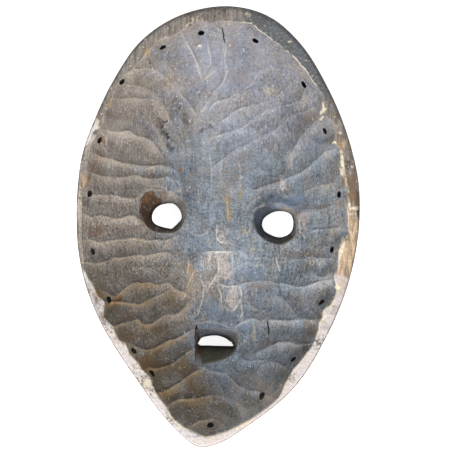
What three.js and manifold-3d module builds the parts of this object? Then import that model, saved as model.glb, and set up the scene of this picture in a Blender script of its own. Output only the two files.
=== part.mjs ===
// A carved wooden face mask of a domed forehead, round eyes, a long nose and open lips, lying on its face
// with the hollow up. Millimetres, +Z up, +Y towards the crown, +X to the right for someone who looks into
// the hollow. The origin is the middle of the floor under it.
// The mask is one block of wood: a blank with the face on its underside, then gouge cuts that hollow it,
// then the tunnels of the eyes and the mouth and the slanting holes for cord round the edge.
import * as THREE from "three";
import { mergeVertices } from "three/addons/utils/BufferGeometryUtils.js";
import Module from "manifold-3d";

const wasm = await Module();
wasm.setup();

// Sizes of the whole
const DEPTH = 66; // from the floor, under the forehead and lips, to the rim
const HUB = [0, 5]; // the middle from which shares of the radius are measured

// The rim's outer line, clockwise from the crown as seen from behind
const OUTLINE = [
  [4, 120.7], [27.5, 115.2], [45.9, 99.2], [59.9, 76.4], [70.1, 52.3], [76.5, 26.9], [77.4, 5],
  [75.3, -13.8], [70.8, -32.6], [64.5, -49.2], [57.5, -63.5], [50.5, -75.9], [41.5, -88.1], [29.8, -99],
  [16, -109], [2.1, -117.8], [-11, -120.2], [-22.6, -111.3], [-33.7, -98.8], [-43.7, -84.7], [-54.1, -69.5],
  [-64.1, -52.7], [-72.1, -33.3], [-76.4, -14], [-77.5, 5], [-76.7, 24.1], [-74, 41.1], [-67.9, 58.1],
  [-57.9, 79.1], [-42.8, 101.1], [-21.5, 115.4],
];
const OUTLINE_SAMPLES = 720;

// The rim's width at every 15 degrees, from +X round to the left by way of the crown
const RIM_WIDTHS = [
  7.3, 8.5, 8, 7.5, 8.2, 10, 8.8, 8.6, 6.9, 5.4, 4.7, 4.5,
  3.5, 3.2, 4.8, 5.5, 6.9, 6.5, 5.6, 4.1, 6.8, 7.3, 7.7, 8.8,
];
const RIM_BEVEL_SHARE = 0.3; // of the rim's width, sloping outwards
const RIM_BEVEL_DROP = 1.6;

// The hollow
const HOLLOW_DEPTH = 44; // behind the nose and mouth
const HOLLOW_FOREHEAD = 13; // deeper than that behind the forehead
const HOLLOW_POWERS = [2.2, 3.8]; // how square its section is across and along
const BLANK_RISE = 0.9; // wood left over the hollow's mean surface for the gouge to take

// Gouge cuts. Each runs in a row between two ridges, from the spine of the hollow out to the rim. A ridge is
// given by its inner end, x and y, and by the angle round the hub in degrees at which it meets the rim.
const LEFT_RIDGES = [
  [-7, -111, 262], [-10, -99, 254], [-13, -86, 251], [-15, -74, 243], [-22, -64, 235], [-22, -50, 227],
  [-22, -38, 218], [-24, -32, 212], [-24, -18, 202], [-24, -6, 190], [-24, 4, 178], [-24, 18, 169],
  [-25, 26, 163], [-26, 34, 153], [-29, 48, 143], [-27, 63, 133], [-22, 72, 124],
];
const CROWN_RIDGES = [
  [-13, 50, 121], [-14, 62, 113], [-12, 72, 106], [-9, 78, 99], [-4, 80, 93], [2, 80, 87], [6, 76, 80],
  [5, 69, 73], [3, 63, 67], [1, 57, 61],
];
const RIGHT_RIDGES = [
  [1, 51, 55], [1, 39, 47], [5, 28, 35], [7, 17, 22], [9, 7, 8], [10, -6, -6], [10, -18, -18], [10, -34, -29],
  [11, -43, -38], [11, -54, -46], [11, -66, -54], [10, -77, -64], [1, -84, -76], [-7, -98, -85],
];
const GOUGE_RADIUS = 17;
const DEEPEST_CUT = 2.1;
const CUT_LENGTH = 26; // about; a row holds as many as fit
const CUT_OVERLAP = 2.5;
const CUT_ROUND = 0.45; // how far a cut runs out past its ends, in half widths
const CUT_SPREAD = 1.3; // of a cut's half width, to where it is clear of the blank
const CUT_REACH = 1.14; // of its half length
const CUT_ACROSS = [-1, -0.36, 0.36, 1];
const CUT_STEP = 14; // between its sections
const CUT_CLEARANCE = 6; // above the rim
const SPINE = { columns: [-17, -8, 1, 8], rows: 4, top: 50, pitch: 26, half: 6.3 };

// The face
const FACE_LEVEL = 53.5; // the plane of the eyes and cheeks below the rim
const FACE_POWERS = [2.6, 3.8];
const FACE_ROUNDING = 0.75;
const BROW = { step: 14.9, foot: 14, top: 42 }; // the forehead stands beyond that plane
const RIDGE = { rise: 2.4, half: 4.5, foot: 24, top: 112 };
const CHEEKS = { rise: 3, x: 38, y: -30 };
const CHIN = { rise: 6, y: -101 };
const SOCKET = { depth: 4.5, ring: 2.6 };
const NOSE = { top: 22, tip: -38, rise: 11, rootHalf: 4.2, baseHalf: 14.5, wing: 3.6 };
const LIPS = { x: -2, y: -67.3, halfWidth: 26, upper: 14, lower: 13, parting: 3, upperRise: 19.6, lowerRise: 23.2 };
const RELIEF_ROOT = 3.5; // how far the nose and lips are let into the face

// The openings: near is in the hollow, far is in the face; x, y and half sizes
const EYES = [
  { near: [-33, 8.4, 12.8, 12.2], far: [-31, 6, 7.9, 7.4] },
  { near: [31.4, 2.6, 12.4, 12.4], far: [32.6, 1.2, 8.6, 7] },
];
const EYE_NEAR_DEPTH = 37;
const EYE_FAR_DEPTH = 46;
const MOUTH = { near: [-2, -68.8, 12.3, 9.6], far: [-3, -67.2, 10, 3.4], nearDepth: 34, farDepth: 62 };

// The holes for cord: the angle round the hub in degrees, and how far in from the outer edge
const CORD_HOLES = [
  [95.3, 13], [108, 11.4], [125.2, 6], [146.8, 6.8], [169.4, 6.8], [-164.9, 8.2],
  [-143.1, 8.5], [-122.3, 8.6], [-113, 9.6], [-92.2, 11.7], [-76.2, 9.6], [-62.1, 11],
  [-39.3, 11.2], [-15.6, 13.2], [10.9, 11.8], [39.2, 12.9], [57.3, 12.4], [78.2, 15.4],
];
const CORD_HOLE_RADIUS = 1.9;
const CORD_HOLE_LEAN = 40; // degrees from the vertical, outwards
const DISHED_HOLES = [1, 5, 7, 9, 15]; // with a round dish cut about them
const DISH_RADIUS = 5.5;
const DISH_FORCE = 3;

const { clamp, degToRad, lerp, smoothstep } = THREE.MathUtils;

// A repeatable number from 0 to 1 for a whole number
const chance = (n) => {
  const s = Math.sin(n * 12.9898 + 4.1414) * 43758.5453;
  return s - Math.floor(s);
};

// The outer line, as pairs of an angle and a radius from the hub
const outline = (() => {
  const knots = OUTLINE.map(([x, y]) => new THREE.Vector3(x, y, 0));
  const points = new THREE.CatmullRomCurve3(knots, true, "catmullrom", 0.5).getPoints(OUTLINE_SAMPLES);
  const box = new THREE.Box3().setFromPoints(points);
  const middle = box.getCenter(new THREE.Vector3());
  points.forEach((p) => p.sub(middle));
  return points
    .slice(1)
    .map((p) => [Math.atan2(p.y - HUB[1], p.x - HUB[0]), Math.hypot(p.x - HUB[0], p.y - HUB[1])])
    .sort((a, b) => a[0] - b[0]);
})();

function rimRadius(angle) {
  const table = outline;
  const turn = 2 * Math.PI;
  angle -= turn * Math.round(angle / turn);
  let high = table.findIndex(([a]) => a > angle);
  if (high < 0) high = 0;
  const low = (high + table.length - 1) % table.length;
  const span = (table[high][0] - table[low][0] + turn) % turn;
  const along = (angle - table[low][0] + turn) % turn;
  return lerp(table[low][1], table[high][1], span > 0 ? along / span : 0);
}

function rimWidth(angle) {
  const place = ((angle / (2 * Math.PI) + 1) % 1) * RIM_WIDTHS.length;
  const low = Math.floor(place);
  const eased = (1 - Math.cos((place - low) * Math.PI)) / 2;
  return lerp(RIM_WIDTHS[low % RIM_WIDTHS.length], RIM_WIDTHS[(low + 1) % RIM_WIDTHS.length], eased);
}

const around = (x, y) => ({
  angle: Math.atan2(y - HUB[1], x - HUB[0]),
  radius: Math.hypot(x - HUB[0], y - HUB[1]),
});
const powerAt = ([across, along], angle) => lerp(across, along, Math.sin(angle) ** 2);

// The hollow's mean surface: millimetres below the rim, under zero beyond its edge
function hollowDepth(x, y) {
  const { angle, radius } = around(x, y);
  const share = radius / (rimRadius(angle) - rimWidth(angle));
  const deepest = HOLLOW_DEPTH + HOLLOW_FOREHEAD * smoothstep(y, -10, 55);
  return deepest * (1 - share ** powerAt(HOLLOW_POWERS, angle));
}

// How much a slope lengthens a cut that is measured straight down
function slopeFactor(x, y) {
  const step = 0.5;
  const dx = hollowDepth(x + step, y) - hollowDepth(x - step, y);
  const dy = hollowDepth(x, y + step) - hollowDepth(x, y - step);
  return Math.hypot(1, dx, dy);
}

// The hand's waver: the gouge's rows are laid out straight and bent a little by this.
function waver(x, y) {
  return [
    x + 1.1 * Math.sin(0.19 * y + 0.07 * x + 1.1) + 0.4 * Math.sin(0.41 * y - 0.23 * x + 4),
    y + 1.1 * Math.sin(0.17 * x - 0.09 * y + 0.3) + 0.5 * Math.sin(0.37 * x + 0.29 * y + 2.2),
  ];
}

// A cut runs from one point to another, with a half width at each end, a force and a bow to one side.
const cuts = [];
function addCut(from, to, halfFrom, halfTo = halfFrom, force = 1, bow = 0) {
  cuts.push({ from, to, halfFrom, halfTo, force, bow });
}

const at = (x, y) => new THREE.Vector2(x, y);

function hollowEdgeAt(degrees) {
  const angle = degToRad(degrees);
  const radius = rimRadius(angle) - rimWidth(angle);
  return at(HUB[0] + radius * Math.cos(angle), HUB[1] + radius * Math.sin(angle));
}

// The cuts of the rows between neighbouring ridges
function addRows(ridges, seed) {
  ridges.slice(1).forEach(([x1, y1, angle1], k) => {
    const [x0, y0, angle0] = ridges[k];
    const wander = (n) => chance(seed + 7 * k + n) - 0.5;
    const [inner0, inner1] = [at(x0, y0), at(x1, y1)];
    const [outer0, outer1] = [hollowEdgeAt(angle0), hollowEdgeAt(angle1)];
    const start = inner0.clone().lerp(inner1, 0.5);
    const end = outer0.clone().lerp(outer1, 0.5);
    const run = end.clone().sub(start).normalize();
    const side = at(-run.y, run.x);
    start.addScaledVector(run, 12 * (wander(7) - 0.15));
    end.addScaledVector(run, 1.5 + 2 * wander(1));
    const halfInner = 0.57 * Math.abs(inner1.sub(inner0).dot(side)) + 0.7;
    const halfOuter = 0.57 * Math.abs(outer1.sub(outer0).dot(side)) + 0.4;
    const length = end.distanceTo(start);
    const parts = Math.max(1, Math.round(length / CUT_LENGTH));
    const share = (j) => (j === 0 || j === parts ? j : j + 0.45 * wander(20 + j)) / parts;
    for (let j = 0; j < parts; j++) {
      const [t0, t1] = [share(j), share(j + 1)];
      const [shift, lean] = [1.6 * wander(30 + j), 1.6 * wander(40 + j)];
      const past = j < parts - 1 ? CUT_OVERLAP : 0;
      addCut(
        start.clone().addScaledVector(run, length * t0 - CUT_OVERLAP).addScaledVector(side, shift - lean),
        start.clone().addScaledVector(run, length * t1 + past).addScaledVector(side, shift + lean),
        lerp(halfInner, halfOuter, t0) * (1 + 0.15 * wander(50 + j)),
        lerp(halfInner, halfOuter, t1) * (1 + 0.15 * wander(60 + j)),
        1 + 0.5 * wander(70 + j),
        (2.4 * wander(3)) / parts,
      );
    }
  });
}

// Shallow upright cuts down the spine
function addSpine({ columns, rows, top, pitch, half }) {
  columns.forEach((column, i) => {
    for (let j = 0; j < rows; j++) {
      const draw = (n) => chance(400 + 11 * i + 5 * j + n);
      const x = column + 5 * (draw(1) - 0.5);
      const y = top - pitch * j - 14 * draw(0) + 6 * (i % 2);
      const foot = at(x + 6 * (draw(2) - 0.5), y - 20 - 14 * draw(5));
      addCut(at(x, y), foot, half, half * (0.8 + 0.4 * draw(3)), 0.5 + 0.5 * draw(4));
    }
  });
}

addRows(LEFT_RIDGES, 101);
addRows([LEFT_RIDGES.at(-1), CROWN_RIDGES[0]], 150);
addRows(CROWN_RIDGES, 11);
addRows([CROWN_RIDGES.at(-1), RIGHT_RIDGES[0]], 170);
addRows(RIGHT_RIDGES, 206);
addSpine(SPINE);
addCut(at(-12, -106), at(2, -113), 8, 6, 1.1);
addCut(at(-8, -104), at(12, -103), 9);

const cordHoles = CORD_HOLES.map(([degrees, inset]) => {
  const angle = degToRad(degrees);
  const radius = rimRadius(angle) - inset;
  return { angle, x: HUB[0] + radius * Math.cos(angle), y: HUB[1] + radius * Math.sin(angle) };
});
DISHED_HOLES.forEach((n) => {
  const { x, y } = cordHoles[n];
  addCut(at(x - 0.5, y), at(x + 0.5, y), DISH_RADIUS, DISH_RADIUS, DISH_FORCE);
});

// A cut's own measures: its middle, direction, half length and half width at a place along it
function frameOf({ from, to, halfFrom, halfTo }) {
  const run = to.clone().sub(from);
  const straight = run.length() / 2;
  const halfLength = straight + CUT_ROUND * Math.max(halfFrom, halfTo);
  run.normalize();
  const halfAt = (along) => lerp(halfFrom, halfTo, clamp((1 + (along * halfLength) / straight) / 2, 0, 1));
  return { middle: from.clone().add(to).multiplyScalar(0.5), run, halfLength, halfAt };
}

// How far a cut reaches below the hollow's mean surface, at shares along and across it
function cutBelow({ force }, half, along, across) {
  const deepest = Math.min(force * (half ** 2 / (2 * GOUGE_RADIUS)), DEEPEST_CUT);
  return deepest * (1 - across ** 2 - along ** 4);
}

// The face without its nose and lips: millimetres below the rim, at the underside
function faceDepth(x, y) {
  const { angle, radius } = around(x, y);
  const share = Math.min(1, radius / rimRadius(angle));
  const dome = (1 - share ** powerAt(FACE_POWERS, angle)) ** FACE_ROUNDING;
  const brow = smoothstep(y + 0.006 * x * x, BROW.foot, BROW.top);
  const cheeks = CHEEKS.rise * bump((Math.abs(x) - CHEEKS.x) / 14, (y - CHEEKS.y) / 17);
  const chin = CHIN.rise * bump(x / 15, (y - CHIN.y) / 10);
  return dome * (FACE_LEVEL + BROW.step * brow) + cheeks + chin + eyeRelief(x, y) + browBand(x, y);
}

const bump = (...shares) => Math.exp(-shares.reduce((sum, s) => sum + s * s, 0));

// A shallow socket about each eye, and a raised ring at its edge
function eyeRelief(x, y) {
  return EYES.reduce((sum, { far: [ex, ey, rx, ry] }) => {
    const away = (Math.hypot((x - ex) / rx, (y - ey) / ry) - 1) * rx; // from the edge of the opening
    return sum - SOCKET.depth * bump(away / 9) + SOCKET.ring * bump((away - 2.4) / 2.4);
  }, 0);
}

// A ridge down the middle of the forehead
function browBand(x, y) {
  const fade = smoothstep(y, RIDGE.foot, RIDGE.foot + 12) * (1 - smoothstep(y, RIDGE.top - 26, RIDGE.top));
  return RIDGE.rise * fade * bump(x / RIDGE.half);
}

// Values from -1 to 1 whose steps are shorter about a place
function graded(count, place, spread, squeeze) {
  const weights = Array.from({ length: count }, (_, i) => {
    const t = -1 + (2 * (i + 0.5)) / count;
    return 1 - squeeze * Math.exp(-(((t - place) / spread) ** 2));
  });
  const whole = weights.reduce((a, b) => a + b, 0);
  let run = 0;
  return [-1, ...weights.map((w) => -1 + (2 * (run += w)) / whole)];
}

// A square grid laid over the mask's plan; each point has its angle and its share of the radius.
function planGrid(columns, rows) {
  const points = [];
  for (const b of rows)
    for (const a of columns) {
      const u = a * Math.sqrt(1 - (b * b) / 2);
      const v = b * Math.sqrt(1 - (a * a) / 2);
      const share = Math.min(1, Math.hypot(u, v));
      points.push({ angle: Math.atan2(v, u), share: 1 - (1 - share) ** 1.45 });
    }
  return points;
}

function quads(columns, rows, first, upwards) {
  const faces = [];
  for (let j = 0; j < rows; j++)
    for (let i = 0; i < columns; i++) {
      const a = first + j * (columns + 1) + i;
      const [b, c, d] = [a + 1, a + columns + 2, a + columns + 1];
      faces.push(...(upwards ? [a, b, c, a, c, d] : [a, c, b, a, d, c]));
    }
  return faces;
}

// The border of such a grid, counter-clockwise from above
function border(columns, rows, first) {
  const index = (i, j) => first + j * (columns + 1) + i;
  const loop = [];
  for (let i = 0; i < columns; i++) loop.push(index(i, 0));
  for (let j = 0; j < rows; j++) loop.push(index(columns, j));
  for (let i = columns; i > 0; i--) loop.push(index(i, rows));
  for (let j = rows; j > 0; j--) loop.push(index(0, j));
  return loop;
}

// A band of faces from a lower loop to an upper one, facing outwards
function band(lower, upper) {
  return lower.flatMap((a, i) => {
    const next = (i + 1) % lower.length;
    return [a, lower[next], upper[next], a, upper[next], upper[i]];
  });
}

function solidFrom(positions, index) {
  const geometry = new THREE.BufferGeometry();
  geometry.setAttribute("position", new THREE.Float32BufferAttribute(positions, 3));
  geometry.setIndex(index);
  return solidOf(geometry);
}

function solidOf(geometry) {
  const bare = geometry.clone();
  bare.deleteAttribute("normal");
  bare.deleteAttribute("uv");
  const merged = mergeVertices(bare, 1e-4);
  return new wasm.Manifold(
    new wasm.Mesh({
      numProp: 3,
      vertProperties: new Float32Array(merged.attributes.position.array),
      triVerts: new Uint32Array(merged.index.array),
    }),
  );
}

// The blank: the face below, the rim, and a smooth hollow for the gouge to finish
function blank() {
  const columns = graded(23, 0, 0.5, 0.3);
  const rows = graded(33, 0, 0.5, 0.2);
  const [nc, nr] = [columns.length - 1, rows.length - 1];
  const plan = planGrid(columns, rows);
  const positions = [];
  const put = (angle, radius, z) =>
    positions.push(HUB[0] + radius * Math.cos(angle), HUB[1] + radius * Math.sin(angle), z);

  plan.forEach(({ angle, share }) => {
    const radius = share * rimRadius(angle);
    const [x, y] = [HUB[0] + radius * Math.cos(angle), HUB[1] + radius * Math.sin(angle)];
    put(angle, radius, DEPTH - clamp(faceDepth(x, y), RIM_BEVEL_DROP, DEPTH));
  });
  const hollowStart = plan.length;
  plan.forEach(({ angle, share }) => {
    const radius = share * (rimRadius(angle) - rimWidth(angle));
    const [x, y] = [HUB[0] + radius * Math.cos(angle), HUB[1] + radius * Math.sin(angle)];
    const depth = share < 0.999 ? Math.max(0.2, hollowDepth(x, y) - BLANK_RISE) : 0;
    put(angle, radius, DEPTH - depth);
  });
  const faceEdge = border(nc, nr, 0);
  const hollowEdge = border(nc, nr, hollowStart);
  const crest = faceEdge.map((i) => {
    const { angle } = plan[i];
    put(angle, rimRadius(angle) - rimWidth(angle) * RIM_BEVEL_SHARE, DEPTH);
    return positions.length / 3 - 1;
  });
  return solidFrom(positions, [
    ...quads(nc, nr, 0, false),
    ...quads(nc, nr, hollowStart, true),
    ...band(faceEdge, crest),
    ...band(crest, hollowEdge),
  ]);
}

// One gouge cut as a solid: its scooped underside, and a flat top clear of the rim
function gouge(cut) {
  const { middle, run, halfLength, halfAt } = frameOf(cut);
  const steps = Math.max(3, Math.round((2 * halfLength) / CUT_STEP));
  const wide = CUT_ACROSS.length - 1;
  const positions = [];
  for (const top of [false, true])
    for (let j = 0; j <= steps; j++)
      for (const side of CUT_ACROSS) {
        const along = CUT_REACH * (-1 + (2 * j) / steps);
        const across = side * CUT_SPREAD;
        const half = halfAt(along);
        const off = across * half + cut.bow * (1 - along ** 2);
        const wanted = [
          middle.x + run.x * along * halfLength - run.y * off,
          middle.y + run.y * along * halfLength + run.x * off,
        ];
        let [x, y] = wanted;
        for (let round = 0; round < 3; round++) {
          const [bentX, bentY] = waver(x, y);
          x += wanted[0] - bentX;
          y += wanted[1] - bentY;
        }
        const floor = DEPTH - hollowDepth(x, y) - cutBelow(cut, half, along, across) * slopeFactor(x, y);
        const highest = DEPTH + CUT_CLEARANCE;
        positions.push(x, y, top ? highest : Math.min(floor, highest - 1));
      }
  const lower = border(wide, steps, 0);
  const upper = border(wide, steps, (wide + 1) * (steps + 1));
  return solidFrom(positions, [
    ...quads(wide, steps, 0, true),
    ...quads(wide, steps, (wide + 1) * (steps + 1), false),
    ...band(upper, lower),
  ]);
}

// A straight-sided tunnel between two outlines of the same number of points, wider in the hollow
function tunnel(near, far, nearZ, farZ, overshoot) {
  const positions = [];
  const stretch = overshoot / (nearZ - farZ);
  [-stretch, 1 + stretch].forEach((t) => {
    near.forEach((p, i) => {
      positions.push(lerp(p[0], far[i][0], t), lerp(p[1], far[i][1], t), lerp(nearZ, farZ, t));
    });
  });
  const n = near.length;
  const loop = (start) => near.map((_, i) => start + i);
  const caps = [];
  for (let i = 1; i < n - 1; i++) caps.push(0, i, i + 1, n, n + i + 1, n + i);
  return solidFrom(positions, [...caps, ...band(loop(n), loop(0))]);
}

// A raised feature of the face, over a grid: place gives x and y, and rise the height above the face
function relief(columns, rows, place, rise) {
  const positions = [];
  for (const root of [false, true])
    for (let j = 0; j <= rows; j++)
      for (let i = 0; i <= columns; i++) {
        const [u, v] = [i / columns, j / rows];
        const [x, y] = place(u, v);
        const proud = root ? -RELIEF_ROOT : rise(u, v);
        positions.push(x, y, DEPTH - Math.min(DEPTH, faceDepth(x, y) + proud));
      }
  const start = (columns + 1) * (rows + 1);
  const faces = [
    ...quads(columns, rows, 0, false),
    ...quads(columns, rows, start, true),
    ...band(border(columns, rows, 0), border(columns, rows, start)),
  ];
  return solidFrom(positions, faces);
}

// The nose: a straight ridge that widens and rises to the tip, with a wing on each side
function nose() {
  const place = (u, v) => {
    const down = 1 - v;
    const across = 2 * u - 1;
    const tipBow = 2.5 * down * bump(across / 0.4);
    return [
      across * lerp(NOSE.rootHalf, NOSE.baseHalf, down ** 1.5),
      lerp(NOSE.top, NOSE.tip, down ** 0.85) - tipBow,
    ];
  };
  const rise = (u, v) => {
    const down = 1 - v;
    const off = Math.abs(2 * u - 1);
    if (off === 1 || down === 1) return -1;
    const bridge = lerp(2.5, NOSE.rise, down) * (1 - off ** 1.6);
    const wing = NOSE.wing * bump((off - 0.72) / 0.22, (down - 0.9) / 0.16);
    return (bridge + wing + 1) * smoothstep(down, 0, 0.12) - 1;
  };
  return relief(10, 12, place, rise);
}

// One lip, side 1 for the upper and -1 for the lower: a bow of rounded section, thinner at its corners
function lip(side) {
  const [full, proud] = side > 0 ? [LIPS.upper, LIPS.upperRise] : [LIPS.lower, LIPS.lowerRise];
  const place = (u, v) => {
    const across = side * (2 * u - 1);
    const arch = 1 - across ** 2;
    const notch = side > 0 ? 2 * v * bump(across / 0.16) : 0;
    const away = LIPS.parting * arch + v * full * lerp(0.2, 1, arch) - notch;
    return [LIPS.x + LIPS.halfWidth * across, LIPS.y + side * away];
  };
  const rise = (u, v) => {
    const round = Math.sin(Math.PI * lerp(0.12, 1, v)) ** 0.55;
    return (proud * (1 - (2 * u - 1) ** 4) ** 0.5 + 1) * round - 1;
  };
  return relief(14, 8, place, rise);
}

const oval = ([x, y, rx, ry], sides) =>
  Array.from({ length: sides }, (_, i) => {
    const angle = (2 * Math.PI * (i + 0.5)) / sides;
    return [x + rx * Math.cos(angle), y + ry * Math.sin(angle)];
  });

// A half moon, flat below, for the mouth
const halfMoon = ([x, y, rx, ry], sides) =>
  Array.from({ length: sides }, (_, i) => {
    const angle = (Math.PI * i) / (sides - 1);
    return [x + rx * Math.cos(angle), y - ry + 2 * ry * Math.sin(angle) ** 0.8];
  });

function cordHole({ angle, x, y }) {
  const drill = new THREE.CylinderGeometry(CORD_HOLE_RADIUS, CORD_HOLE_RADIUS, 60, 6);
  const lean = degToRad(CORD_HOLE_LEAN);
  const outwards = new THREE.Vector3(
    Math.cos(angle) * Math.sin(lean), Math.sin(angle) * Math.sin(lean), -Math.cos(lean));
  drill.applyQuaternion(new THREE.Quaternion().setFromUnitVectors(new THREE.Vector3(0, 1, 0), outwards));
  const start = new THREE.Vector3(x, y, DEPTH - Math.max(0, hollowDepth(x, y)));
  const middle = start.addScaledVector(outwards, 30 - 8);
  drill.translate(middle.x, middle.y, middle.z);
  return solidOf(drill);
}

function carve() {
  let wood = blank().add(nose()).add(lip(1)).add(lip(-1));
  for (const cut of cuts) wood = wood.subtract(gouge(cut));
  for (const { near, far } of EYES)
    wood = wood.subtract(
      tunnel(oval(near, 16), oval(far, 16), DEPTH - EYE_NEAR_DEPTH, DEPTH - EYE_FAR_DEPTH, 7));
  wood = wood.subtract(
    tunnel(halfMoon(MOUTH.near, 12), halfMoon(MOUTH.far, 12), DEPTH - MOUTH.nearDepth, DEPTH - MOUTH.farDepth, 5));
  for (const hole of cordHoles) wood = wood.subtract(cordHole(hole));
  return wood;
}

function meshOf(solid) {
  const { vertProperties, triVerts, numProp } = solid.getMesh();
  const positions = [];
  for (let i = 0; i < vertProperties.length; i += numProp) positions.push(...vertProperties.subarray(i, i + 3));
  const geometry = new THREE.BufferGeometry();
  geometry.setAttribute("position", new THREE.Float32BufferAttribute(positions, 3));
  geometry.setIndex(new THREE.BufferAttribute(triVerts, 1));
  geometry.computeVertexNormals();
  return geometry;
}

const wood = new THREE.MeshStandardMaterial({ color: 0x5b564f, roughness: 0.72, metalness: 0, flatShading: true });
const mask = new THREE.Mesh(meshOf(carve()), wood);
mask.name = "mask";

const part = new THREE.Group();
part.add(mask);

export default part;
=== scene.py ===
"""A carved wooden face mask that lies on its face, looked at from behind, with its gouged hollow up.

The shape is worked out in millimetres below the plane of the rim, with y towards the crown and x to the right
for someone who looks into the hollow. It becomes metres, with the origin under the mask, as its mesh is made.
"""

import logging
import math
from collections.abc import Callable, Iterator
from dataclasses import dataclass, field
from enum import Enum

import bpy
import numpy as np
from mathutils import Matrix, Vector


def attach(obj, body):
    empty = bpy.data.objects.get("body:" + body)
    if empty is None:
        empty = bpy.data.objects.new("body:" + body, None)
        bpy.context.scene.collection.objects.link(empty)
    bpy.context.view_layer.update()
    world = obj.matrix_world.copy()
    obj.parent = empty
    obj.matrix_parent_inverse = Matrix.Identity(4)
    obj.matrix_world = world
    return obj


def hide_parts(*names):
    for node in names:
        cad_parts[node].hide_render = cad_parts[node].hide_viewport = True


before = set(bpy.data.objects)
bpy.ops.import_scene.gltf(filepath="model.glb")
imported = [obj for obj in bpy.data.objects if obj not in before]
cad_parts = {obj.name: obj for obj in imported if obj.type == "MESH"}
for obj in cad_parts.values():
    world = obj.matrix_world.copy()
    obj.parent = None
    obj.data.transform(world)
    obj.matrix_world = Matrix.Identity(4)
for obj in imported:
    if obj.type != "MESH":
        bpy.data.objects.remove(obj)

LOG = logging.getLogger("mask")
MM = 0.001
TENTHS = 10
PERCENT = 100
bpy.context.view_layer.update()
Field = np.ndarray
Pair = tuple[Field, Field]
Floats = tuple[float, ...]
Rows = tuple[Floats, ...]
Wire = bpy.types.NodeSocket


def smoothstep(value: Field, low: float, high: float) -> Field:
    """Eases from 0 at low to 1 at high."""
    t = np.clip((value - low) / (high - low), 0.0, 1.0)
    return t * t * (3.0 - 2.0 * t)


def lerp(a: Field | float, b: Field | float, t: Field | float) -> Field | float:
    """Goes from a to b as t goes from 0 to 1."""
    return a + (b - a) * t


def bump(*shares: Field) -> Field:
    """A smooth hill of height 1 where every share is 0."""
    return np.exp(-sum(s * s for s in shares))


def turned(dx: Field, dy: Field, angle: float) -> Pair:
    """How far a step in the plan goes along a direction, and how far across it."""
    c, s = math.cos(angle), math.sin(angle)
    return dx * c + dy * s, dy * c - dx * s


def spline(before: Field, start: Field, end: Field, after: Field, t: Field) -> Field:
    """The point at t, from 0 to 1, on the smooth curve from start to end between two further knots."""
    third = 3 * (start - end) + after - before
    return start + 0.5 * t * (end - before + t * (2 * before - 5 * start + 4 * end - after + t * third))


def soft_max(a: Field, b: Field, blend: float) -> Field:
    """The larger of two surfaces, with the joint rounded over about blend."""
    h = np.clip(0.5 + (a - b) / (2.0 * blend), 0.0, 1.0)
    return lerp(b, a, h) + blend * h * (1.0 - h)


def colour(red: int, green: int, blue: int) -> Floats:
    """A display colour from 0 to 255 as Blender's linear one."""
    def linear(value: int) -> float:
        """One channel of it."""
        share = value / 255.0
        return share / 12.92 if share <= 0.04045 else ((share + 0.055) / 1.055) ** 2.4

    return linear(red), linear(green), linear(blue), 1.0


class PlanNoise:
    """Smooth seeded noise over the plan of the mask."""

    CELLS = 256

    def __init__(self, seed: int) -> None:
        """Fills the table that the noise is read from."""
        self.table = np.random.default_rng(seed).random((self.CELLS, self.CELLS))

    def at(self, x: Field, y: Field, size: float) -> Field:
        """Noise from -1 to 1 whose spots are about size across.

        Args:
            x, y: points of the plan.
            size: how wide a spot of the noise is.

        Returns:
            The noise at each point, from -1 to 1.
        """
        gx, gy = x / size + 100.0, y / size + 100.0
        ix, iy = np.floor(gx).astype(int), np.floor(gy).astype(int)
        fx, fy = gx - ix, gy - iy
        fx, fy = fx * fx * (3 - 2 * fx), fy * fy * (3 - 2 * fy)
        n = self.CELLS
        low = lerp(self.table[iy % n, ix % n], self.table[iy % n, (ix + 1) % n], fx)
        high = lerp(self.table[(iy + 1) % n, ix % n], self.table[(iy + 1) % n, (ix + 1) % n], fx)
        return 2.0 * lerp(low, high, fy) - 1.0

    def layered(self, x: Field, y: Field, size: float, octaves: int = 3) -> Field:
        """Several sizes of noise, each half as large and half as strong as the last."""
        return sum(self.at(x, y, size / 2**k) / 2**k for k in range(octaves))


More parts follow.
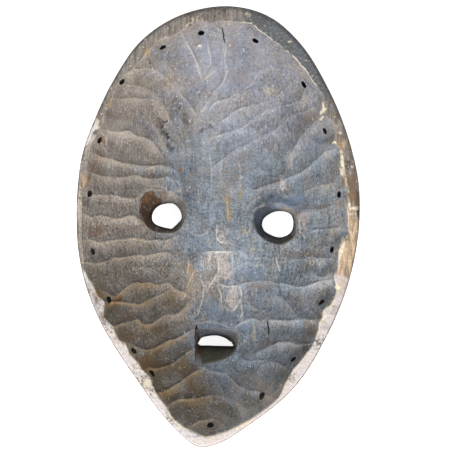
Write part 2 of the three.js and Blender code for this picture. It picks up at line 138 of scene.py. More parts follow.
@dataclass
class ClosedLine:
    """A smooth closed line round a hub, read by its angle.

    Attributes:
        knots: points that the line runs through.
        hub: the middle from which angles and distances are measured.
        centred: whether the line is moved so that its box is centred on the origin.
        samples: how many points the smooth line is made of.
    """

    knots: Rows
    hub: Floats = (0.0, 0.0)
    centred: bool = False
    samples: int = 720

    def __post_init__(self) -> None:
        """Works out the table of distance against angle."""
        line = self._curve()
        if self.centred:
            line -= (line.min(axis=0) + line.max(axis=0)) / 2.0
        away = line[1:] - np.array(self.hub)
        angle = np.arctan2(away[:, 1], away[:, 0])
        order = np.argsort(angle)
        angle, radius = angle[order], np.hypot(away[:, 0], away[:, 1])[order]
        turn = 2.0 * np.pi
        self._angles = np.concatenate([angle[-1:] - turn, angle, angle[:1] + turn])
        self._radii = np.concatenate([radius[-1:], radius, radius[:1]])

    def _curve(self) -> Field:
        """The smooth closed line through the knots."""
        knots = np.array(self.knots, float)
        count = len(knots)
        place = np.linspace(0.0, count, self.samples + 1)
        first = np.minimum(np.floor(place).astype(int), count - 1)
        return spline(*(knots[(first + k) % count] for k in (-1, 0, 1, 2)), (place - first)[:, None])

    def radius(self, angle: Field) -> Field:
        """The line's distance from the hub."""
        turn = 2.0 * np.pi
        return np.interp(angle - turn * np.round(angle / turn), self._angles, self._radii)

    def polar(self, x: Field, y: Field) -> Pair:
        """The angle round the hub and the distance from it."""
        dx, dy = x - self.hub[0], y - self.hub[1]
        return np.arctan2(dy, dx), np.hypot(dx, dy)

    def off(self, x: Field, y: Field) -> Field:
        """How far a point of the plan lies outside the line."""
        angle, radius = self.polar(x, y)
        return radius - self.radius(angle)

    def place(self, angle: Field, radius: Field) -> Pair:
        """The point at an angle and a distance from the hub."""
        return self.hub[0] + radius * np.cos(angle), self.hub[1] + radius * np.sin(angle)


def by_angle(table: Floats, angle: Field) -> Field:
    """Reads a table whose values stand at equal steps of a turn, from +x round by way of the crown.

    Args:
        table: the values.
        angle: where they are read, in radians.

    Returns:
        The eased value at each angle.
    """
    values = np.array(table)
    place = ((angle / (2.0 * np.pi) + 1.0) % 1.0) * len(values)
    low = np.floor(place).astype(int)
    eased = (1.0 - np.cos((place - low) * np.pi)) / 2.0
    return lerp(values[low % len(values)], values[(low + 1) % len(values)], eased)


@dataclass
class Outline(ClosedLine):
    """The rim seen from behind: its outer line, its width and how its wood has fared.

    The tables of 24 values go round in steps of 15 degrees, from +x to the left by way of the crown. In the
    last three, a value under 0 or over 1 makes the change towards its neighbour sharper.

    Attributes:
        widths: the rim's mean width.
        edge: an angle in degrees, and the rim's width just there, with the nicks of the gouge.
        bare: how far the wood is worn bare and pale.
        golden: how far it is golden brown.
        shaded: how far it is smooth and dark.
    """

    knots: Rows = (
        (4, 120.7), (27.5, 115.2), (45.9, 99.2), (59.9, 76.4), (70.1, 52.3), (76.5, 26.9), (77.4, 5),
        (75.3, -13.8), (70.8, -32.6), (64.5, -49.2), (57.5, -63.5), (50.5, -75.9), (41.5, -88.1),
        (29.8, -99), (16, -109), (2.1, -117.8), (-11, -120.2), (-22.6, -111.3), (-33.7, -98.8),
        (-43.7, -84.7), (-54.1, -69.5), (-64.1, -52.7), (-72.1, -33.3), (-76.4, -14), (-77.5, 5),
        (-76.7, 24.1), (-74, 41.1), (-67.9, 58.1), (-57.9, 79.1), (-42.8, 101.1), (-21.5, 115.4),
    )
    hub: Floats = (0.0, 5.0)
    centred: bool = True
    widths: Floats = (
        6.5, 7.7, 7.2, 6.7, 7.4, 9.2, 8, 7.8, 6.1, 4.6, 3.9, 3.7, 2.7, 2.2, 4, 4.7, 6.1, 5.7, 4.8, 3.3, 6,
        6.5, 6.9, 8,
    )
    edge: Rows = (
        (-180, 2.7), (-174, 2.5), (-170, 2.2), (-167, 2.5), (-164, 2.2), (-160, 1.4), (-156, 2),
        (-153, 3.6), (-150, 4.2), (-147, 4.5), (-145, 6.1), (-143.5, 7.2), (-141.5, 5.6), (-139, 3.2),
        (-136, 4.1), (-134, 5.2), (-132, 4.5), (-129, 4.1), (-126, 6.5), (-123, 5.2), (-120, 6.2),
        (-116, 6.8), (-113, 8.4), (-111, 6.3), (-108, 5.3), (-105.5, 5.7), (-103, 4.4), (-100, 4.7),
        (-96, 6.9), (-93, 5.7), (-90, 5.4), (-86, 4.1), (-81, 2.5), (-78, 2.4), (-75, 2.3), (-72, 2.4),
        (-70, 3.4), (-67, 6), (-63, 7.6), (-60, 6.5), (-57, 5.9), (-52, 5.3), (-48, 5.8), (-46, 7.5),
        (-43.5, 6.9), (-41, 8.6), (-38, 5.6), (-34, 4.7), (-31, 5.1), (-29, 7), (-26.5, 10.1), (-24, 8.3),
        (-21, 8.1), (-18, 8.8), (-15, 9.7), (-12, 8.2), (-9, 6.1), (-6, 5.3), (-3, 5.9), (0, 6.2), (5, 7),
        (8, 7.9), (12, 6.8), (16, 7.7), (20, 9.5), (24, 7.9), (28, 5.9), (31, 6.8), (33, 8.8), (36, 6),
        (40, 5.8), (43, 8), (46, 7.8), (50, 5), (55, 6.2), (60, 6.9), (65, 8.5), (70, 10.3), (74, 11),
        (78, 9), (80, 6.9), (85, 8.2), (90, 8.7), (93, 7.7), (95.5, 5.9), (98, 8.5), (102, 8.7),
        (105, 8.4), (108, 6.5), (113, 7.7), (117, 7.4), (120, 6.9), (123, 4.8), (127, 3.8), (131, 4.8),
        (135, 4.4), (140, 5.2), (146, 4.3), (150, 3.1), (155, 3.6), (159, 4.2), (163, 4.6), (167, 3.6),
        (171, 2.8), (176, 2.9),
    )
    bare: Floats = (
        -0.2, 0, 0, 0, 0, 0, 0, 0, 0, 0.15, 0.42, 0.15, 0.3, 0.3, 0.42, 0.6, 0.85, 0.95, 1, 1, 1, 0.68,
        0.7, -0.7,
    )
    golden: Floats = (
        0.72, -0.6, 0.35, 0.1, 0, 0, 0, 0, 0, 0.15, 0.3, 0.4, 0.3, 0.2, 0, 0, 0, 0, 0, 0, 0, 0, 0.8, 1,
    )
    shaded: Floats = (
        0, 0, 0.1, 0.35, 0.9, 0.85, 0.2, 0.2, 0.1, 0, 0, 0, 0, 0, 0, 0, 0, 0, 0, 0, 0, 0, 0, 0,
    )

    def width(self, angle: Field) -> Field:
        """The rim's mean width from the outer line to the hollow's edge."""
        return by_angle(self.widths, angle)

    def nicked(self, angle: Field) -> Field:
        """The rim's width with the nicks in the hollow's edge."""
        degrees, widths = np.array(self.edge).T
        return np.interp(np.degrees(angle), degrees, widths, period=360.0)


@dataclass
class CordHoles:
    """The slanting holes for cord round the edge.

    Attributes:
        places: the angle round the hub in degrees, and how far in from the outer line.
        lean: how far the drill leans outwards from upright, in degrees.
        length: how long the drill is.
        start_above: how far its upper end stands above a mouth.
        dished: which of them have a round dish cut about their mouths.
    """

    outline: Outline
    places: Rows = (
        (95.3, 13), (108, 11.4), (125.2, 6), (146.8, 6.8), (169.4, 6.8), (-164.9, 8.2), (-143.1, 8.5),
        (-122.3, 8.6), (-113, 9.6), (-92.2, 11.7), (-76.2, 9.6), (-62.1, 11), (-39.3, 11.2), (-15.6, 13.2),
        (10.9, 11.8), (39.2, 12.9), (57.3, 12.4), (78.2, 15.4),
    )
    radius: float = 1.9
    lean: float = 40.0
    length: float = 60.0
    start_above: float = 8.0
    sides: int = 24
    dished: tuple[int, ...] = (1, 5, 7, 9, 15)
    dish_radius: float = 5.5
    dish_depth: float = 1.3

    def mouths(self) -> list[Floats]:
        """The angle round the hub, x and y of each hole's mouth."""
        found = []
        for degrees, inset in self.places:
            angle = math.radians(degrees)
            x, y = self.outline.place(angle, float(self.outline.radius(np.array(angle))) - inset)
            found.append((angle, float(x), float(y)))
        return found


@dataclass
class OpenLines:
    """Smooth open lines in the plan, each with a strength.

    Attributes:
        rows: for each line its strength in hundredths, and then x and y, in tenths of a millimetre, of the
            points that it runs through.
        reach: how far from a line anything is worked out.
        steps: how many pieces each stretch between two points is cut into.
        taper: how far from its ends a line starts to fade.
        blunt: the share of its strength that is left at its ends.
    """

    rows: Rows
    reach: float
    steps: int = 4
    taper: float = 4.0
    blunt: float = 0.4

    def __post_init__(self) -> None:
        """Smooths the lines."""
        self.lines = [
            (row[0] / PERCENT, self._smooth(np.array(row[1:]).reshape(-1, 2) / TENTHS)) for row in self.rows
        ]

    def _smooth(self, knots: Field) -> Field:
        """More points along a smooth open line through the knots."""
        held = np.concatenate([2 * knots[:1] - knots[1:2], knots, 2 * knots[-1:] - knots[-2:-1]])
        place = np.linspace(0.0, len(knots) - 1.0, (len(knots) - 1) * self.steps + 1)
        first = np.minimum(np.floor(place).astype(int), len(knots) - 2)
        return spline(*(held[first + k] for k in range(4)), (place - first)[:, None])

    @staticmethod
    def _nearest(line: Field, x: Field, y: Field) -> tuple[Field, Field, Field, Field]:
        """The way from a line's nearest point to each point, its size, and that point's place on the line.

        Args:
            line: the line's points in order.
            x, y: points of the plan.

        Returns:
            The way's x and y, its length, and how far along the line the nearest point is.
        """
        start, run = line[:-1], np.diff(line, axis=0)
        size = np.hypot(*run.T)
        reached = np.concatenate([[0.0], np.cumsum(size)[:-1]])
        dx, dy = x[:, None] - start[:, 0], y[:, None] - start[:, 1]
        share = np.clip((dx * run[:, 0] + dy * run[:, 1]) / size**2, 0.0, 1.0)
        dx, dy = dx - share * run[:, 0], dy - share * run[:, 1]
        off = np.hypot(dx, dy)
        best = np.argmin(off, axis=1)
        pick = np.arange(len(x)), best
        return dx[pick], dy[pick], off[pick], reached[best] + share[pick] * size[best]

    def near(self, x: Field, y: Field) -> Iterator[tuple[Field, Field, Field, Field, Field]]:
        """Goes through the lines that pass near points of the plan.

        Args:
            x, y: points of the plan.

        Yields:
            Which points are near, how far above the line they lie, their distance from it, the same with a
            minus sign on the line's chin side, and the line's strength, which fades at its ends.
        """
        for strength, line in self.lines:
            low, top = line.min(axis=0) - self.reach, line.max(axis=0) + self.reach
            near = (x > low[0]) & (x < top[0]) & (y > low[1]) & (y < top[1])
            if not near.any():
                continue
            dx, dy, away, along = self._nearest(line, x[near], y[near])
            end = np.minimum(along, np.hypot(*np.diff(line, axis=0).T).sum() - along)
            held = strength * lerp(self.blunt, 1.0, smoothstep(end, 0.0, self.taper))
            whole = line[-1] - line[0]
            above = np.sign(whole[0]) * np.sign(whole[0] * dy - whole[1] * dx)
            yield near, dy, away, above * away, held

    def closest(self, x: Field, y: Field) -> tuple[Field, Field, Field]:
        """The distance from the closest line, the same with its sign, and that line's strength.

        Args:
            x, y: points of the plan.

        Returns:
            The two distances, and the strength, which is 0 where no line is near.
        """
        off, side, high = np.full(x.shape, self.reach), np.full(x.shape, self.reach), np.zeros(x.shape)
        for near, _, away, signed, held in self.near(x, y):
            closer = away < off[near]
            for kept, new in ((off, away), (side, signed), (high, held)):
                kept[near] = np.where(closer, new, kept[near])
        return off, side, high


CRESTS: Rows = (
    (100, -549, 835, -495, 851, -453, 864, -389, 878),
    (110, -375, 998, -374, 928, -364, 881, -330, 859, -290, 826, -249, 776, -207, 734, -169, 686, -142,
     636),
    (50, -304, 964, -293, 921, -271, 873, -242, 813, -217, 761),
    (90, -577, 704, -513, 710, -440, 718, -380, 719, -339, 695, -304, 648, -268, 577),
    (70, -512, 781, -460, 778, -398, 765, -348, 732, -313, 686),
    (80, -206, 1091, -187, 1043, -159, 993, -131, 936, -111, 896, -102, 839),
    (70, -64, 1108, -59, 1036, -52, 963, -49, 908),
    (90, 34, 1140, 35, 1037, 20, 939, 35, 893, 16, 825, -31, 776, -72, 715, -113, 654),
    (80, -103, 834, -68, 861, -27, 893, 14, 919), (40, 111, 1140, 97, 1060, 106, 988, 93, 929),
    (50, -250, 765, -215, 809, -189, 873, -179, 944),
    (100, 240, 881, 183, 827, 142, 786, 89, 754, 43, 738, -15, 716, -73, 665),
    (110, 450, 837, 397, 784, 347, 747, 291, 714, 233, 701, 170, 686, 112, 671, 59, 643, 1, 604),
    (110, 515, 737, 452, 699, 358, 682, 273, 666, 198, 630, 146, 586, 99, 552, 23, 535, -52, 512),
    (110, 548, 662, 480, 638, 425, 638, 370, 599, 313, 552, 238, 515, 169, 482, 111, 454, 58, 425, 0, 384,
     -52, 337),
    (80, 477, 773, 468, 729, 447, 689, 425, 660), (60, 483, 767, 520, 726, 564, 677),
    (50, 373, 912, 412, 868, 455, 822), (80, 570, 597, 518, 571, 470, 526, 443, 473, 410, 418, 388, 362),
    (90, 667, 431, 595, 414, 547, 372, 504, 335, 455, 303, 393, 276, 319, 254, 239, 226, 169, 198),
    (60, 398, 657, 359, 616, 325, 574), (50, 313, 496, 285, 428, 238, 365, 198, 314),
    (110, -680, 540, -653, 546, -595, 533, -524, 534, -450, 512, -394, 493, -357, 449, -330, 393),
    (110, -735, 420, -686, 409, -634, 385, -563, 367, -504, 352, -426, 344, -346, 352, -297, 341, -257,
     313),
    (90, -757, 311, -697, 300, -636, 281, -554, 272, -478, 280, -410, 270, -345, 271, -290, 278, -262, 220),
    (100, -762, 180, -677, 175, -604, 177, -529, 161, -482, 155, -446, 184, -398, 202, -344, 208, -278,
     191, -221, 163),
    (110, -773, 76, -702, 54, -664, 65, -614, 49, -554, 43, -502, 54, -460, 43, -428, 3),
    (100, -768, -60, -725, -76, -696, -72, -662, -89, -603, -79, -501, -75, -395, -76, -313, -83, -230,
     -55),
    (110, -740, -196, -658, -198, -600, -189, -550, -180, -505, -170, -458, -166, -432, -177, -394, -167,
     -351, -151, -286, -146),
    (120, -653, -349, -578, -385, -545, -361, -506, -330, -445, -322, -393, -324, -339, -332, -296, -322,
     -268, -345, -223, -374, -173, -404),
    (100, -620, -415, -542, -420, -493, -429, -452, -437, -406, -418, -365, -398, -333, -382, -290, -367),
    (120, -588, -551, -526, -537, -488, -525, -454, -518, -422, -553, -386, -555, -345, -531, -309, -506,
     -255, -503, -216, -482, -189, -449, -172, -409),
    (120, -481, -635, -415, -679, -370, -679, -319, -668, -278, -644, -235, -625, -192, -605, -154, -584),
    (110, -389, -779, -334, -791, -299, -780, -247, -758, -211, -735, -168, -710, -135, -690),
    (120, -342, -906, -296, -906, -267, -895, -227, -869, -186, -842, -143, -819, -100, -795),
    (60, -719, -305, -664, -284, -626, -270, -568, -278),
    (50, -508, -242, -457, -233, -394, -246, -340, -270),
    (120, -298, -993, -252, -966, -212, -957, -160, -958, -101, -958, -40, -948, 18, -960, 64, -987, 98,
     -1018, 127, -1069),
    (80, -184, -1107, -128, -1080, -74, -1067, -24, -1061, 22, -1081, 56, -1113),
    (110, -100, -795, -60, -817, -9, -822, 37, -836, 78, -871, 118, -899, 174, -910, 219, -911, 274, -931,
     324, -938),
    (80, 104, -732, 150, -757, 212, -749, 285, -756, 357, -771, 406, -796),
    (50, -37, -844, -1, -900, 40, -949, 97, -979, 176, -1010), (70, 357, -836, 340, -881, 296, -924),
    (50, 213, -837, 240, -779, 285, -756), (80, 685, 131, 633, 115, 575, 99, 509, 93, 443, 88),
    (70, 695, 5, 617, -18, 536, -24, 465, -53),
    (100, 668, -175, 573, -179, 520, -169, 454, -188, 398, -184, 347, -173, 285, -180, 216, -175, 153,
     -158, 90, -136),
    (90, 55, -262, 101, -222, 153, -204, 210, -204, 256, -226, 296, -254),
    (80, 90, -336, 159, -319, 216, -312, 273, -311, 319, -333), (50, 285, -180, 313, -214, 319, -259),
    (100, 656, -289, 588, -293, 524, -318, 475, -337, 426, -334, 375, -325, 319, -333),
    (90, 552, -229, 551, -273, 583, -277, 620, -258, 657, -240),
    (100, 596, -496, 548, -510, 485, -511, 408, -518, 330, -533, 251, -537),
    (80, 68, -596, 114, -556, 171, -533, 217, -532, 251, -570),
    (100, 558, -606, 499, -636, 435, -644, 369, -639, 313, -659, 246, -695, 183, -719),
    (70, 113, -336, 119, -410, 125, -483, 108, -540), (60, 319, -395, 364, -421, 403, -463, 447, -509),
    (50, 453, -361, 480, -408, 512, -455, 549, -484), (40, 188, -555, 200, -604, 200, -654),
    (60, 669, 252, 596, 237, 526, 217, 466, 189), (60, -100, -147, -42, -147, 21, -141, 78, -147),
    (50, 90, -153, 78, -205, 67, -250), (50, 111, 326, 111, 267, 123, 215),
    (50, -20, -4, -37, -50, -8, -90), (50, -92, 580, -57, 609, -23, 581),
    (50, -126, 569, -92, 552, -63, 563), (60, -370, 578, -345, 529, -313, 462, -280, 428),
    (50, -244, 634, -212, 579, -179, 499, -168, 430), (50, -299, 621, -268, 543, -224, 476, -202, 395),
    (50, -174, -176, -196, -238, -179, -307, -190, -375), (60, -13, -331, 50, -342, 113, -330),
    (50, -115, -551, -58, -541, 10, -547, 74, -563),
)


@dataclass
class GougeWork:
    """What the gouge left in the hollow: sharp crests between its strokes, and dishes round some holes.

    Attributes:
        crests: the lines of the crests, each with its height as its strength.
        full: how far the middle of a wide stroke lies below the top of a crest.
        upper, lower: how far a crest's slopes reach towards the crown and towards the chin.
        sways: how far the crests waver, and over what distance, first widely and then finely.
    """

    holes: CordHoles
    crests: Rows = CRESTS
    full: float = 2.3
    upper: float = 11.0
    lower: float = 6.5
    sways: Rows = ((0.7, 9.0), (0.45, 3.6))
    sway: PlanNoise = field(default_factory=lambda: PlanNoise(19))

    def __post_init__(self) -> None:
        """Smooths the crests."""
        self.lines = OpenLines(self.crests, self.upper)

    def _swayed(self, x: Field, y: Field) -> Pair:
        """Moves points a little, so that the crests waver as a hand does."""
        sway, ((much, wide), (less, fine)) = self.sway, self.sways
        return (
            x + much * sway.at(x, y, wide) + less * sway.at(y, x, fine),
            y + much * sway.at(x + 50, y, wide) + less * sway.at(y + 50, x, fine),
        )

    def lie(self, x: Field, y: Field) -> dict[str, Field]:
        """How the strokes lie at points of the plan.

        Args:
            x, y: points of the plan.

        Returns:
            The share of the full depth that they reach, the distance from the nearest crest, the same with a
            minus sign on its chin side, and that crest's height.
        """
        x, y = self._swayed(x, y)
        left = np.ones(x.shape)
        uneven = 0.74 + 0.3 * self.sway.at(x + 20, y, 15.0) - 0.22 * smoothstep(x, -15.0, 25.0)
        uneven = uneven + 0.3 * smoothstep(-y, 20.0, 60.0) - 0.15 * smoothstep(y, 50.0, 90.0)
        for near, dy, away, _, held in self.lines.near(x, y):
            wide = lerp(self.lower, self.upper, (1.0 + dy / np.maximum(away, 1e-6)) / 2.0)
            crest = held * uneven[near] * np.clip(1.0 - away / wide, 0.0, None) ** 2
            left[near] *= 1.0 - np.clip(crest, 0.0, 0.97)
        off, side, high = self.lines.closest(x, y)
        return {"reach": left, "crest_off": off, "crest_side": side, "crest_high": high * uneven}

    def dishes(self, x: Field, y: Field) -> Field:
        """How deep the dishes round the holes are."""
        total, mouths = np.zeros(x.shape), self.holes.mouths()
        for index in self.holes.dished:
            _, mx, my = mouths[index]
            away = np.hypot(x - mx, y - my) / self.holes.dish_radius
            total = np.maximum(total, self.holes.dish_depth * (1.0 - away**2))
        return total


@dataclass
class Opening:
    """A hole cut from the hollow to the face.

    Attributes:
        name: what its cutter is called.
        near: the line where it starts in the hollow.
        far: the line where it is narrowest.
        far_depth: how deep below the rim that is.
        plunge: how much steeper its wall is at the end than at the start; 1 is straight.
        start: the share of the fall that is even; the rest of it plunges.
        sink: how far the near line lies below the hollow's mean surface, where the gouge has been.
        steep: how much the hollow's slope lengthens that.
        stops: the shares of the way from near to far where the wall has rings; those under 0 lie above it.
        headroom: how far above the first ring the cutter goes on.
        bottom: how deep below the rim the cutter ends, under the face.
    """

    name: str
    near: ClosedLine
    far: ClosedLine
    far_depth: float
    plunge: float = 2.6
    start: float = 0.85
    sink: float = 0.6
    steep: float = 1.15
    stops: Floats = (-0.45, -0.2, 0.0, 0.15, 0.3, 0.45, 0.6, 0.74, 0.87, 0.95, 1.0)
    headroom: float = 24.0
    bottom: float = 90.0

    def rings(self, mean_hollow: Callable[[Field, Field], Field], points: int) -> list[Field]:
        """The rings of points that its wall runs through, from above the hollow to below the face.

        Args:
            mean_hollow: gives the hollow's mean surface.
            points: how many points a ring has.

        Returns:
            The rings in order, each with a row of x, y and depth for every point.
        """
        angle = -2.0 * np.pi * np.arange(points) / points
        near = np.stack(self.near.place(angle, self.near.radius(angle)), axis=1)
        far = np.stack(self.far.place(angle, self.far.radius(angle)), axis=1)
        depth = mean_hollow(near[:, 0], near[:, 1]) + self.sink * self.steep
        rings = []
        for t in self.stops:
            fall = self.start * t + (1.0 - self.start) * max(t, 0.0) ** self.plunge
            plan = lerp(near, far, t)
            rings.append(np.column_stack([plan, lerp(depth, self.far_depth, fall)]))
        top, bottom = rings[0].copy(), rings[-1].copy()
        top[:, 2] -= self.headroom
        bottom[:, 2] = self.bottom
        return [top, *rings, bottom]


LEFT_EYE = Opening(
    "left_eye",
    near=ClosedLine(
        (
            (-45.5, 9.3), (-45, 13.9), (-43.2, 17.9), (-39.8, 19.9), (-34.9, 20.7), (-30.6, 20.3),
            (-27.2, 19.1), (-24.4, 17.3), (-21.3, 15.1), (-19.2, 11.7), (-19, 8.2), (-20, 4.2),
            (-21.6, 0.8), (-24.1, -2.1), (-27.5, -3.6), (-31.9, -3.7), (-36.4, -3.1), (-40.1, -0.9),
            (-42.8, 2.6), (-44.7, 6),
        ),
        hub=(-31.0, 6.5),
    ),
    far=ClosedLine(
        (
            (-38.1, 4.4), (-37, 8), (-34.7, 11), (-31.9, 12.8), (-29.3, 13.2), (-26.7, 12.7),
            (-24.2, 10.4), (-22.6, 7), (-22.7, 4.1), (-24.5, 1.9), (-26.5, 0), (-28.4, -1.4),
            (-30.3, -0.9), (-33.7, 0.5), (-36.4, 1.6), (-37.7, 2.8),
        ),
        hub=(-30.3, 6.0),
    ),
    far_depth=47.0,
)
RIGHT_EYE = Opening(
    "right_eye",
    near=ClosedLine(
        (
            (18.8, 2.3), (19.3, 6.8), (21.6, 10.2), (25.6, 12.5), (30.2, 13.3), (35.3, 13.1), (39.8, 11.3),
            (42.6, 7.9), (43.7, 3.7), (43.6, -0.8), (42.9, -4.5), (40.4, -7.3), (37, -9.4), (33.5, -10.3),
            (29.1, -9.2), (24.7, -6.9), (20.8, -2.9),
        ),
        hub=(32.0, 1.5),
    ),
    far=ClosedLine(
        (
            (23.9, 1.3), (24.8, 4.2), (27, 6.3), (30.2, 7.7), (33.1, 8.2), (36.5, 8.1), (39.1, 7.1),
            (40.4, 5.7), (41.1, 3), (41.1, 0.2), (40.3, -2.4), (38.3, -4.5), (35.7, -5.7), (33, -6),
            (29.3, -5), (25.9, -3.2), (24.4, -1),
        ),
        hub=(32.6, 1.2),
    ),
    far_depth=47.0,
)
MOUTH = Opening(
    "mouth",
    near=ClosedLine(
        (
            (-13.4, -76.4), (-13.7, -67.3), (-13.6, -59.9), (-12, -58.6), (-5.8, -58.4), (1.1, -58.5),
            (6.8, -59.1), (10, -60.7), (10.9, -64.5), (10.1, -68.4), (7.5, -72), (3.6, -74.8),
            (-2.7, -76.7), (-9.5, -77.9), (-12.2, -77.7),
        ),
        hub=(-3.0, -67.5),
    ),
    far=ClosedLine(
        (
            (-13.3, -69.3), (-12.9, -67.4), (-11.4, -65), (-8.3, -64), (-4.3, -63.5), (-0.8, -63.8),
            (2.8, -65.2), (5.4, -67.1), (7.3, -69.3), (6.4, -70.5), (2.8, -70.5), (-3, -70.4),
            (-8.9, -70.2), (-12.4, -70.2),
        ),
        hub=(-3.0, -67.5),
    ),
    far_depth=54.0,
    plunge=2.4,
    start=0.6,
    sink=0.5,
)
OPENINGS = (LEFT_EYE, RIGHT_EYE, MOUTH)


@dataclass(frozen=True)
class Socket:
    """The middle and half sizes of an eye as the face shows it."""

    x: float
    y: float
    wide: float
    tall: float

    def off_edge(self, x: Field, y: Field) -> Field:
        """How far a point of the plan lies outside the edge of the eye."""
        return (np.hypot((x - self.x) / self.wide, (y - self.y) / self.tall) - 1.0) * self.wide


SOCKETS = (Socket(-31.0, 6.0, 7.9, 7.4), Socket(32.6, 1.2, 8.6, 7.0))


@dataclass
class FaceForm:
    """The face on the underside: a domed forehead, shallow sockets, a long nose, open lips and a small chin.

    Attributes:
        whole_depth: how deep the whole mask is.
        level: the depth of the face below the brow.
        powers: how square the dome is across and along; higher is squarer.
        rounding: the power of its crown.
        brow_step: how far the forehead stands out, between the two heights in brow.
        cheeks, chin: x, y, half width, half height and rise of the swellings there.
        socket: how deep the eyes' sockets are, and how far they reach.
        lid: the rise, the distance from the eye and the half width of the raised edge round it.
        ridge: the rise and the half width of the line down the forehead, and in ridge_ends where it fades.
        nose_half: the nose's half width at its top and at its tip.
        nose_wing: how far its wings swell.
        lips_full: how tall the upper and the lower lip are; lips_rise is how far they stand out.
    """

    outline: Outline
    whole_depth: float = 66.0
    level: float = 53.5
    powers: Floats = (2.6, 3.8)
    rounding: float = 0.75
    brow_step: float = 14.9
    brow: Floats = (14.0, 42.0)
    cheeks: Floats = (38.0, -30.0, 14.0, 17.0, 3.0)
    chin: Floats = (0.0, -101.0, 15.0, 10.0, 6.0)
    socket: Floats = (4.5, 9.0)
    lid: Floats = (2.6, 2.4, 2.4)
    ridge: Floats = (2.4, 4.5)
    ridge_ends: Floats = (24.0, 36.0, 86.0, 112.0)
    nose_top: float = 22.0
    nose_tip: float = -38.0
    nose_rise: float = 11.0
    nose_half: Floats = (4.2, 14.5)
    nose_wing: float = 3.6
    lips_place: Floats = (-2.0, -67.3)
    lips_half: float = 26.0
    lips_parting: float = 0.6
    lips_full: Floats = (14.0, 13.0)
    lips_rise: Floats = (19.6, 23.2)

    def dome(self, x: Field, y: Field) -> Field:
        """The share of the full depth that the face's crowned form has."""
        angle, radius = self.outline.polar(x, y)
        share = np.minimum(1.0, radius / self.outline.radius(angle))
        power = lerp(*self.powers, np.sin(angle) ** 2)
        return (1.0 - share**power) ** self.rounding

    def bare(self, x: Field, y: Field) -> Field:
        """The face without its nose and lips.

        Args:
            x, y: points of the plan.

        Returns:
            The depth below the rim.
        """
        brow = smoothstep(y + 0.006 * x * x, *self.brow)
        depth = self.dome(x, y) * (self.level + self.brow_step * brow)
        for mx, my, wide, tall, rise in (self.cheeks, self.chin):
            depth = depth + rise * bump((np.abs(x) - mx) / wide, (y - my) / tall)
        sunk, reach = self.socket
        rise, middle, half = self.lid
        for eye in SOCKETS:
            away = eye.off_edge(x, y)
            depth = depth - sunk * bump(away / reach) + rise * bump((away - middle) / half)
        rise, half = self.ridge
        fade = smoothstep(y, *self.ridge_ends[:2]) * (1.0 - smoothstep(y, *self.ridge_ends[2:]))
        return depth + rise * fade * bump(x / half)

    def nose(self, x: Field, y: Field) -> Field:
        """How far the nose stands above the face, under zero outside it.

        Args:
            x, y: points of the plan.

        Returns:
            The height in millimetres.
        """
        down = np.clip((self.nose_top - y) / (self.nose_top - self.nose_tip), 0.0, 1.2)
        for _ in range(4):
            half = lerp(*self.nose_half, np.clip(down, 0, 1) ** 1.5)
            bow = 2.5 * down * bump(x / half / 0.4)
            share = np.clip((self.nose_top - y - bow) / (self.nose_top - self.nose_tip), 0.0, 1.2)
            down = share ** (1.0 / 0.85)
        half = lerp(*self.nose_half, np.clip(down, 0, 1) ** 1.5)
        off = np.abs(x) / half
        ridge = lerp(2.5, self.nose_rise, down) * (1.0 - off**1.6)
        wing = self.nose_wing * bump((off - 0.72) / 0.22, (down - 0.9) / 0.16)
        rise = (ridge + wing + 1.0) * smoothstep(down, 0.0, 0.12) - 1.0
        gone = np.minimum(3.0 * (1.0 - off) * half, 2.2 * (1.0 - down) * (self.nose_top - self.nose_tip))
        return np.minimum(rise, gone)

    def lips(self, x: Field, y: Field) -> Field:
        """How far the lips stand above the face, under zero outside them.

        Args:
            x, y: points of the plan.

        Returns:
            The height in millimetres.
        """
        across = (x - self.lips_place[0]) / self.lips_half
        arch = 1.0 - across**2
        best = np.full(x.shape, -1.0)
        for side, full, proud in zip((1.0, -1.0), self.lips_full, self.lips_rise):
            thick = full * lerp(0.2, 1.0, arch)
            if side > 0:
                thick = thick - 2.0 * bump(across / 0.16)
            v = (side * (y - self.lips_place[1]) - self.lips_parting * arch) / thick
            inside = (np.abs(across) < 1.0) & (v > 0.0) & (v < 1.0)
            crest = np.sin(np.pi * lerp(0.12, 1.0, np.clip(v, 0, 1))) ** 0.55
            body = proud * np.sqrt(np.clip(1.0 - across**4, 0, 1)) + 1.0
            best = np.maximum(best, np.where(inside, body * crest - 1.0, -1.0))
        return best

    def depth(self, x: Field, y: Field) -> Field:
        """The whole face, in millimetres below the rim."""
        bare = self.bare(x, y)
        depth = soft_max(bare, bare + self.nose(x, y), 0.5)
        depth = soft_max(depth, bare + self.lips(x, y), 0.6)
        return np.minimum(depth, self.whole_depth)


